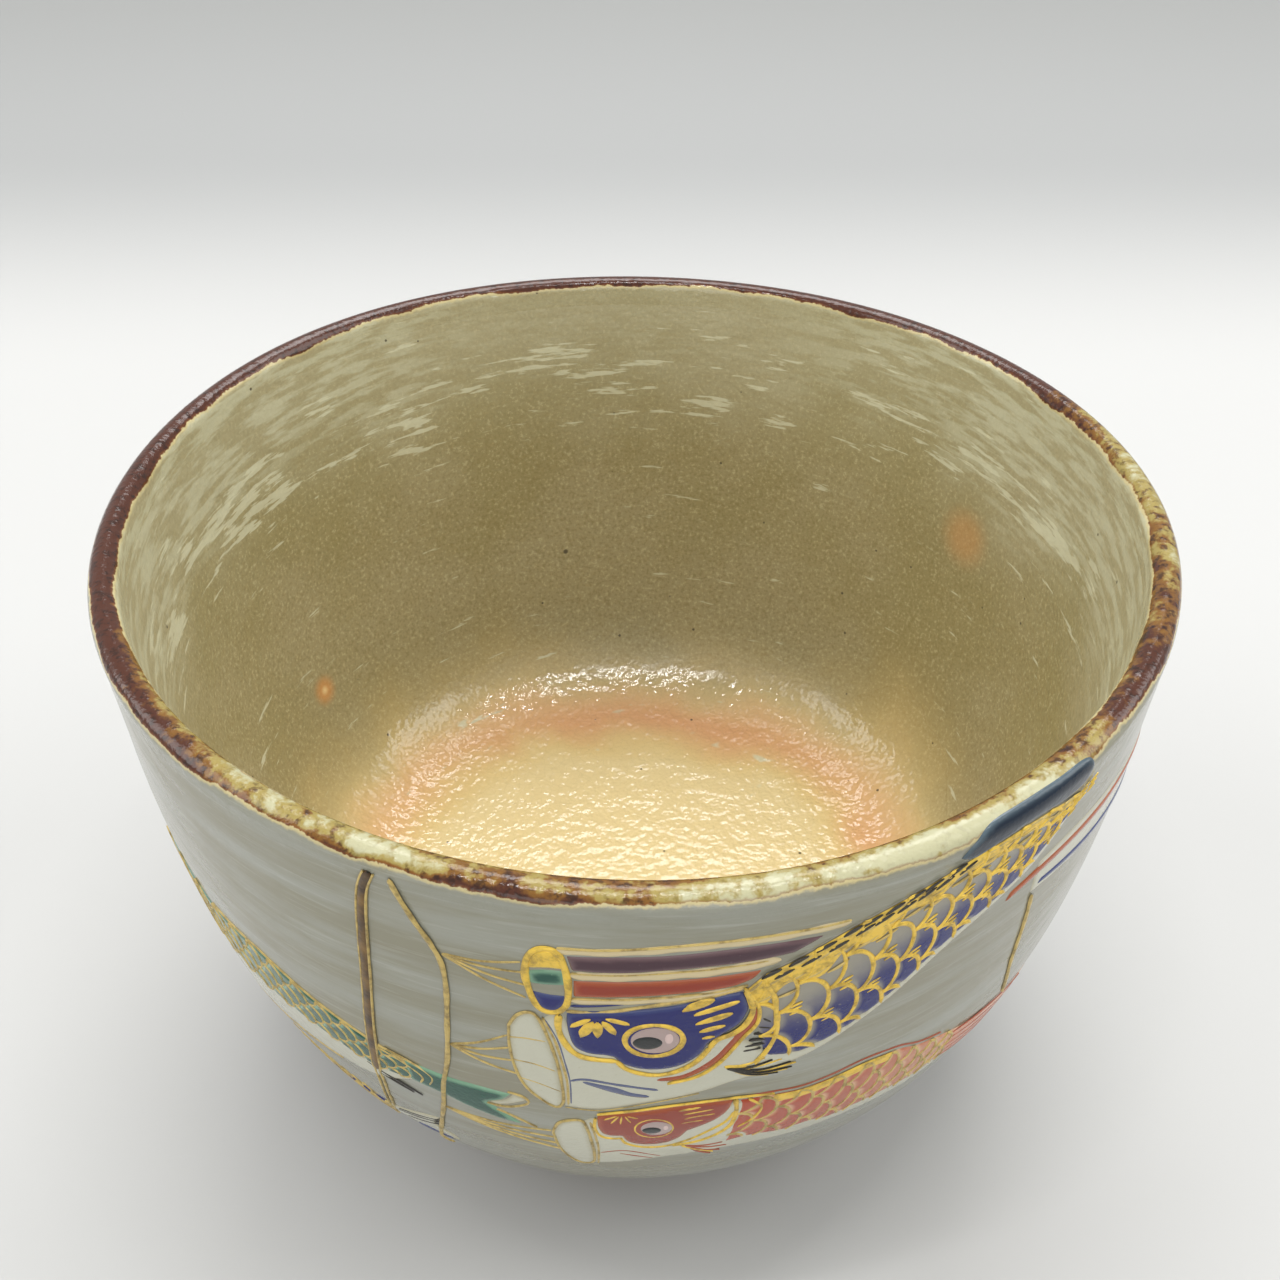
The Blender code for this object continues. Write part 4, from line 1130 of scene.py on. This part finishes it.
# ---- Navy carp -----------------------------------------------------------------------------
# A fourth carp below the green one, low on the side, in the darkest blue under gold.
NAVY_BACK = [(-78.4, 54.4), (-70.0, 54.6), (-60.0, 55.2), (-50.0, 55.9), (-44.0, 56.2), (-38.0, 56.4),
             (-33.0, 55.6)]
NAVY_FLANK = [(-78.4, 64.8), (-70.0, 65.6), (-60.0, 66.0), (-50.0, 65.6), (-44.0, 64.6), (-38.0, 62.6),
              (-33.0, 59.4)]
NAVY_BELLY = [(-87.0, 63.5), (-82.0, 65.6), (-76.0, 67.0), (-68.0, 67.9), (-60.0, 68.2), (-50.0, 67.6),
              (-44.0, 66.4), (-38.0, 64.0), (-33.0, 60.0)]
NAVY_AT = ((-92.0, 58.6), 0.62)
side, net, place = scaly(NAVY_BACK, NAVY_FLANK, 4.0, 0.0, 0.25, 0.16, lambda s, t: 0.9 + 0 * s, 0.7)
painted("navy_carp_scales_enamel", [side], blue, "navy_carp_scales")
tail = outline(
    [(-33.4, 55.6), (-30.0, 53.6), (-26.6, 51.0), (-23.4, 49.2)], [(-24.8, 52.0), (-25.4, 54.0)],
    [(-23.6, 56.4), (-23.2, 58.6)], [(-27.0, 58.0), (-30.4, 58.4), (-33.4, 59.4)], [])
painted("navy_carp_tail_enamel", [pool(tail, 0.0, 0.14)], white, "navy_carp_tail")
patch = rounded([
    (-29.6, 57.6), (-27.4, 57.2), (-24.6, 57.9), (-24.2, 58.5), (-26.4, 58.9), (-29.0, 58.7),
], 6)
painted("navy_carp_tail_patch", [pool(patch, 0.1, 0.12)], blue)
mouth = moved(BLUE_MOUTH, *NAVY_AT)
head = moved(BLUE_HEAD, *NAVY_AT)
cheek = outline(
    [
        (-78.4, 64.0), (-70.0, 64.8), (-60.0, 65.2), (-50.0, 64.8), (-44.0, 63.8), (-38.0, 61.8),
        (-33.0, 58.6)],
    [(-33.0, 60.0)], NAVY_BELLY[::-1],
    [(-87.0, 63.5), (-88.6, 58.0), (-89.5, 54.4), (-87.6, 53.2), (-83.0, 57.0)])
painted("navy_carp_white", [
    pool(rounded(mouth), 0.0, 0.14), pool(cheek, 0.0, 0.12),
], white, "navy_carp_mouth")
painted("navy_carp_head_enamel", [pool(head, 0.04, 0.18)], blue, "navy_carp_head")
painted("navy_carp_eye_enamel", eye_parts(*NAVY_AT), eye_black, "navy_carp_eye")
painted(
    "navy_carp_gold_lines",
    gilded_head(*NAVY_AT) + [stroke(mouth, 0.3, 0.08, 0.1, ring=True)] + [
        stroke(points, 0.3, 0.1, 0.1, smooth=False)
        for points, across in net] + [
        stroke([(x, 55.6), (x + 1.0, 54.6 + 0.02 * x), (x + 2.0, 55.8)], 0.3, 0.04)
        for x in range(-70, -36, 2)],
    pale_gold)
painted("navy_carp_dark_strokes", [stroke(points, (0.15, 0.45, 0.15), 0.12, 0.06) for points in (
    [(-31.4, 54.9), (-27.6, 52.6), (-23.7, 50.2)], [(-31.8, 55.7), (-28.0, 53.7), (-24.0, 51.2)],
    [(-30.6, 56.6), (-27.6, 54.8), (-24.4, 52.4)])] + whiskers(*NAVY_AT), black)

# ---- Poles and cords -----------------------------------------------------------------------
# The pole is a thick brown line edged with gold, the cords are thin gold lines, and each
# mouth is tied to them by a fan of three or four finer ones. The left pole stands by itself.
bamboo = enamel("brown line enamel", "brown_line", shown(128, 97, 44), shown(52, 34, 14), 0.3, 1.6)
FRONT_POLE = [
    (-23.2, 2.9), (-24.5, 6.6), (-25.6, 13.4), (-26.6, 21.1), (-27.9, 29.6), (-28.8, 35.6), (-29.6, 40.7)]
painted("front_pole_brown", [
    stroke(FRONT_POLE, (1.1, 0.9, 1.25, 1.15, 1.25, 1.3, 1.0), 0.14, 0.16, deep=0.6),
], bamboo, "front_pole")
offset = [(x + 0.5, y + 0.1) for x, y in FRONT_POLE]
painted("front_pole_gold", [
    stroke(offset, 0.28, 0.16, 0.12), stroke([(x - 0.5, y) for x, y in FRONT_POLE], 0.28, 0.16, 0.12),
    stroke([(-29.3, 40.4), (-30.2, 46.3), (-32.2, 54.6), (-34.4, 60.6)], 0.35, 0.1),
    stroke([(-30.0, 40.4), (-31.0, 46.5), (-33.1, 54.9), (-35.2, 60.6)], 0.3, 0.1),
], pale_gold)
LEFT_POLE = [(-104.0, 3.9), (-104.3, 15.0), (-104.7, 30.0), (-105.0, 45.0), (-105.2, 58.0)]
painted("left_pole_brown", [stroke(LEFT_POLE, 1.5, 0.1, 0.16, deep=0.6)], bamboo, "left_pole")
painted("left_pole_gold", [stroke([(x + sign * 0.75, y) for x, y in LEFT_POLE], 0.3, 0.14, 0.12)
                           for sign in (-1, 1)], pale_gold)
FRONT_CORD = [(-21.2, 2.9), (-20.7, 5.0), (-19.5, 8.6), (-18.3, 11.6), (-17.6, 14.4), (-17.6, 18.5),
              (-18.2, 24.5), (-19.0, 31.2), (-20.2, 36.6), (-21.4, 42.8), (-23.4, 50.0), (-25.6, 57.0),
              (-26.4, 60.4), (-25.6, 61.4), (-24.8, 60.4)]
painted("front_cord_gold", [stroke(FRONT_CORD, 0.58, 0.2, 0.14)], pale_gold, "front_cord")
RIGHT_CORD = [(44.0, 19.4), (45.0, 25.0), (45.9, 32.4), (47.2, 37.0), (48.9, 41.9)]
painted("right_cord_gold", [stroke(RIGHT_CORD, 0.55, 0.1, 0.14)], pale_gold, "right_cord")
FANS = (((-17.4, 13.0), ((-9.8, 11.6), (-9.6, 13.2), (-9.6, 15.2), (-9.7, 17.2))),
        ((-18.4, 28.3), ((-12.0, 24.2), (-12.0, 26.4), (-11.8, 28.6), (-11.3, 31.0))),
        ((-21.4, 43.4), ((-8.9, 43.2), (-8.8, 45.2), (-8.4, 47.2), (-8.1, 49.2))),
        ((-104.6, 33.0), ((-92.6, 31.5), (-92.8, 34.0), (-92.7, 37.5))),
        ((-104.9, 52.0), ((-92.4, 56.0), (-92.4, 58.4), (-92.2, 61.0))))
painted(
    "mouth_cords_gold",
    [
        stroke([
            knot, ((knot[0] + tip[0]) / 2, (knot[1] + tip[1]) / 2 + 0.4), tip,
        ], (0.35, 0.24, 0.2), 0.04, 0.08)
        for knot, tips in FANS for tip in tips],
    pale_gold)

# ---- Floor and light -----------------------------------------------------------------------
# A plain pale floor that runs back flat. Far behind the bowl, painted shade greys and darkens it where
# less light reaches. Soft lights stand behind, at both sides, overhead and in front, in pale air that lights
# it all round.
FLOOR_SIZE = 24.0
SHADE_STARTS = (0.17, 0.33)  # how far behind the bowl's axis the floor goes grey
SHADE_DEEPENS = (0.30, 0.58)

bpy.ops.mesh.primitive_plane_add(size=FLOOR_SIZE)
floor = bpy.context.object
floor.name = floor.data.name = "floor"
floor.select_set(False)
pale, shader, where = start_material("pale floor", 0.6)
back = put("ShaderNodeSeparateXYZ", {0: where}).outputs[1]
# Painted shade: the floor's colour greys and then darkens far behind the bowl.
colour = blend(ramp(back, *SHADE_STARTS), shown(186, 186, 184), shown(150, 151, 150))
colour = blend(ramp(back, *SHADE_DEEPENS), colour, shown(139, 140, 138))
feed(shader, "Base Color", colour)
floor.data.materials.append(pale)


def softbox(name, at, size, power):
    """A soft rectangular light, turned to the middle of the bowl."""
    lamp = bpy.data.lights.new(name, "AREA")
    lamp.shape = "RECTANGLE"
    lamp.size, lamp.size_y = size
    lamp.energy = power
    held = bpy.data.objects.new(name, lamp)
    held.location = at
    toward = np.subtract((0, 0, HEIGHT / 2), at)
    held.rotation_euler = (math.atan2(math.hypot(toward[0], toward[1]), -toward[2]), 0,
                           math.atan2(toward[0], -toward[1]) + math.pi)
    bpy.context.scene.collection.objects.link(held)


softbox("back window", (0.12, 1.25, 1.75), (1.2, 0.7), 15.0)
softbox("right window", (1.5, 0.2, 1.15), (1.0, 1.3), 13.0)
softbox("left window", (-1.5, 0.1, 1.1), (1.0, 1.3), 13.0)
softbox("ceiling", (0.0, 0.66, 1.40), (1.3, 0.34), 6.5)
softbox("ceiling lamp", (0.03, -0.12, 1.3), (0.85, 0.045), 6.0)
softbox("room in front", (0.0, -1.8, 0.5), (2.0, 1.0), 12.0)
world = bpy.data.worlds.new("pale air")
world.use_nodes = True
world.node_tree.nodes["Background"].inputs[0].default_value = (1, 1, 1, 1)
world.node_tree.nodes["Background"].inputs[1].default_value = 0.60
bpy.context.scene.world = world
bpy.context.scene.view_settings.view_transform = "Standard"
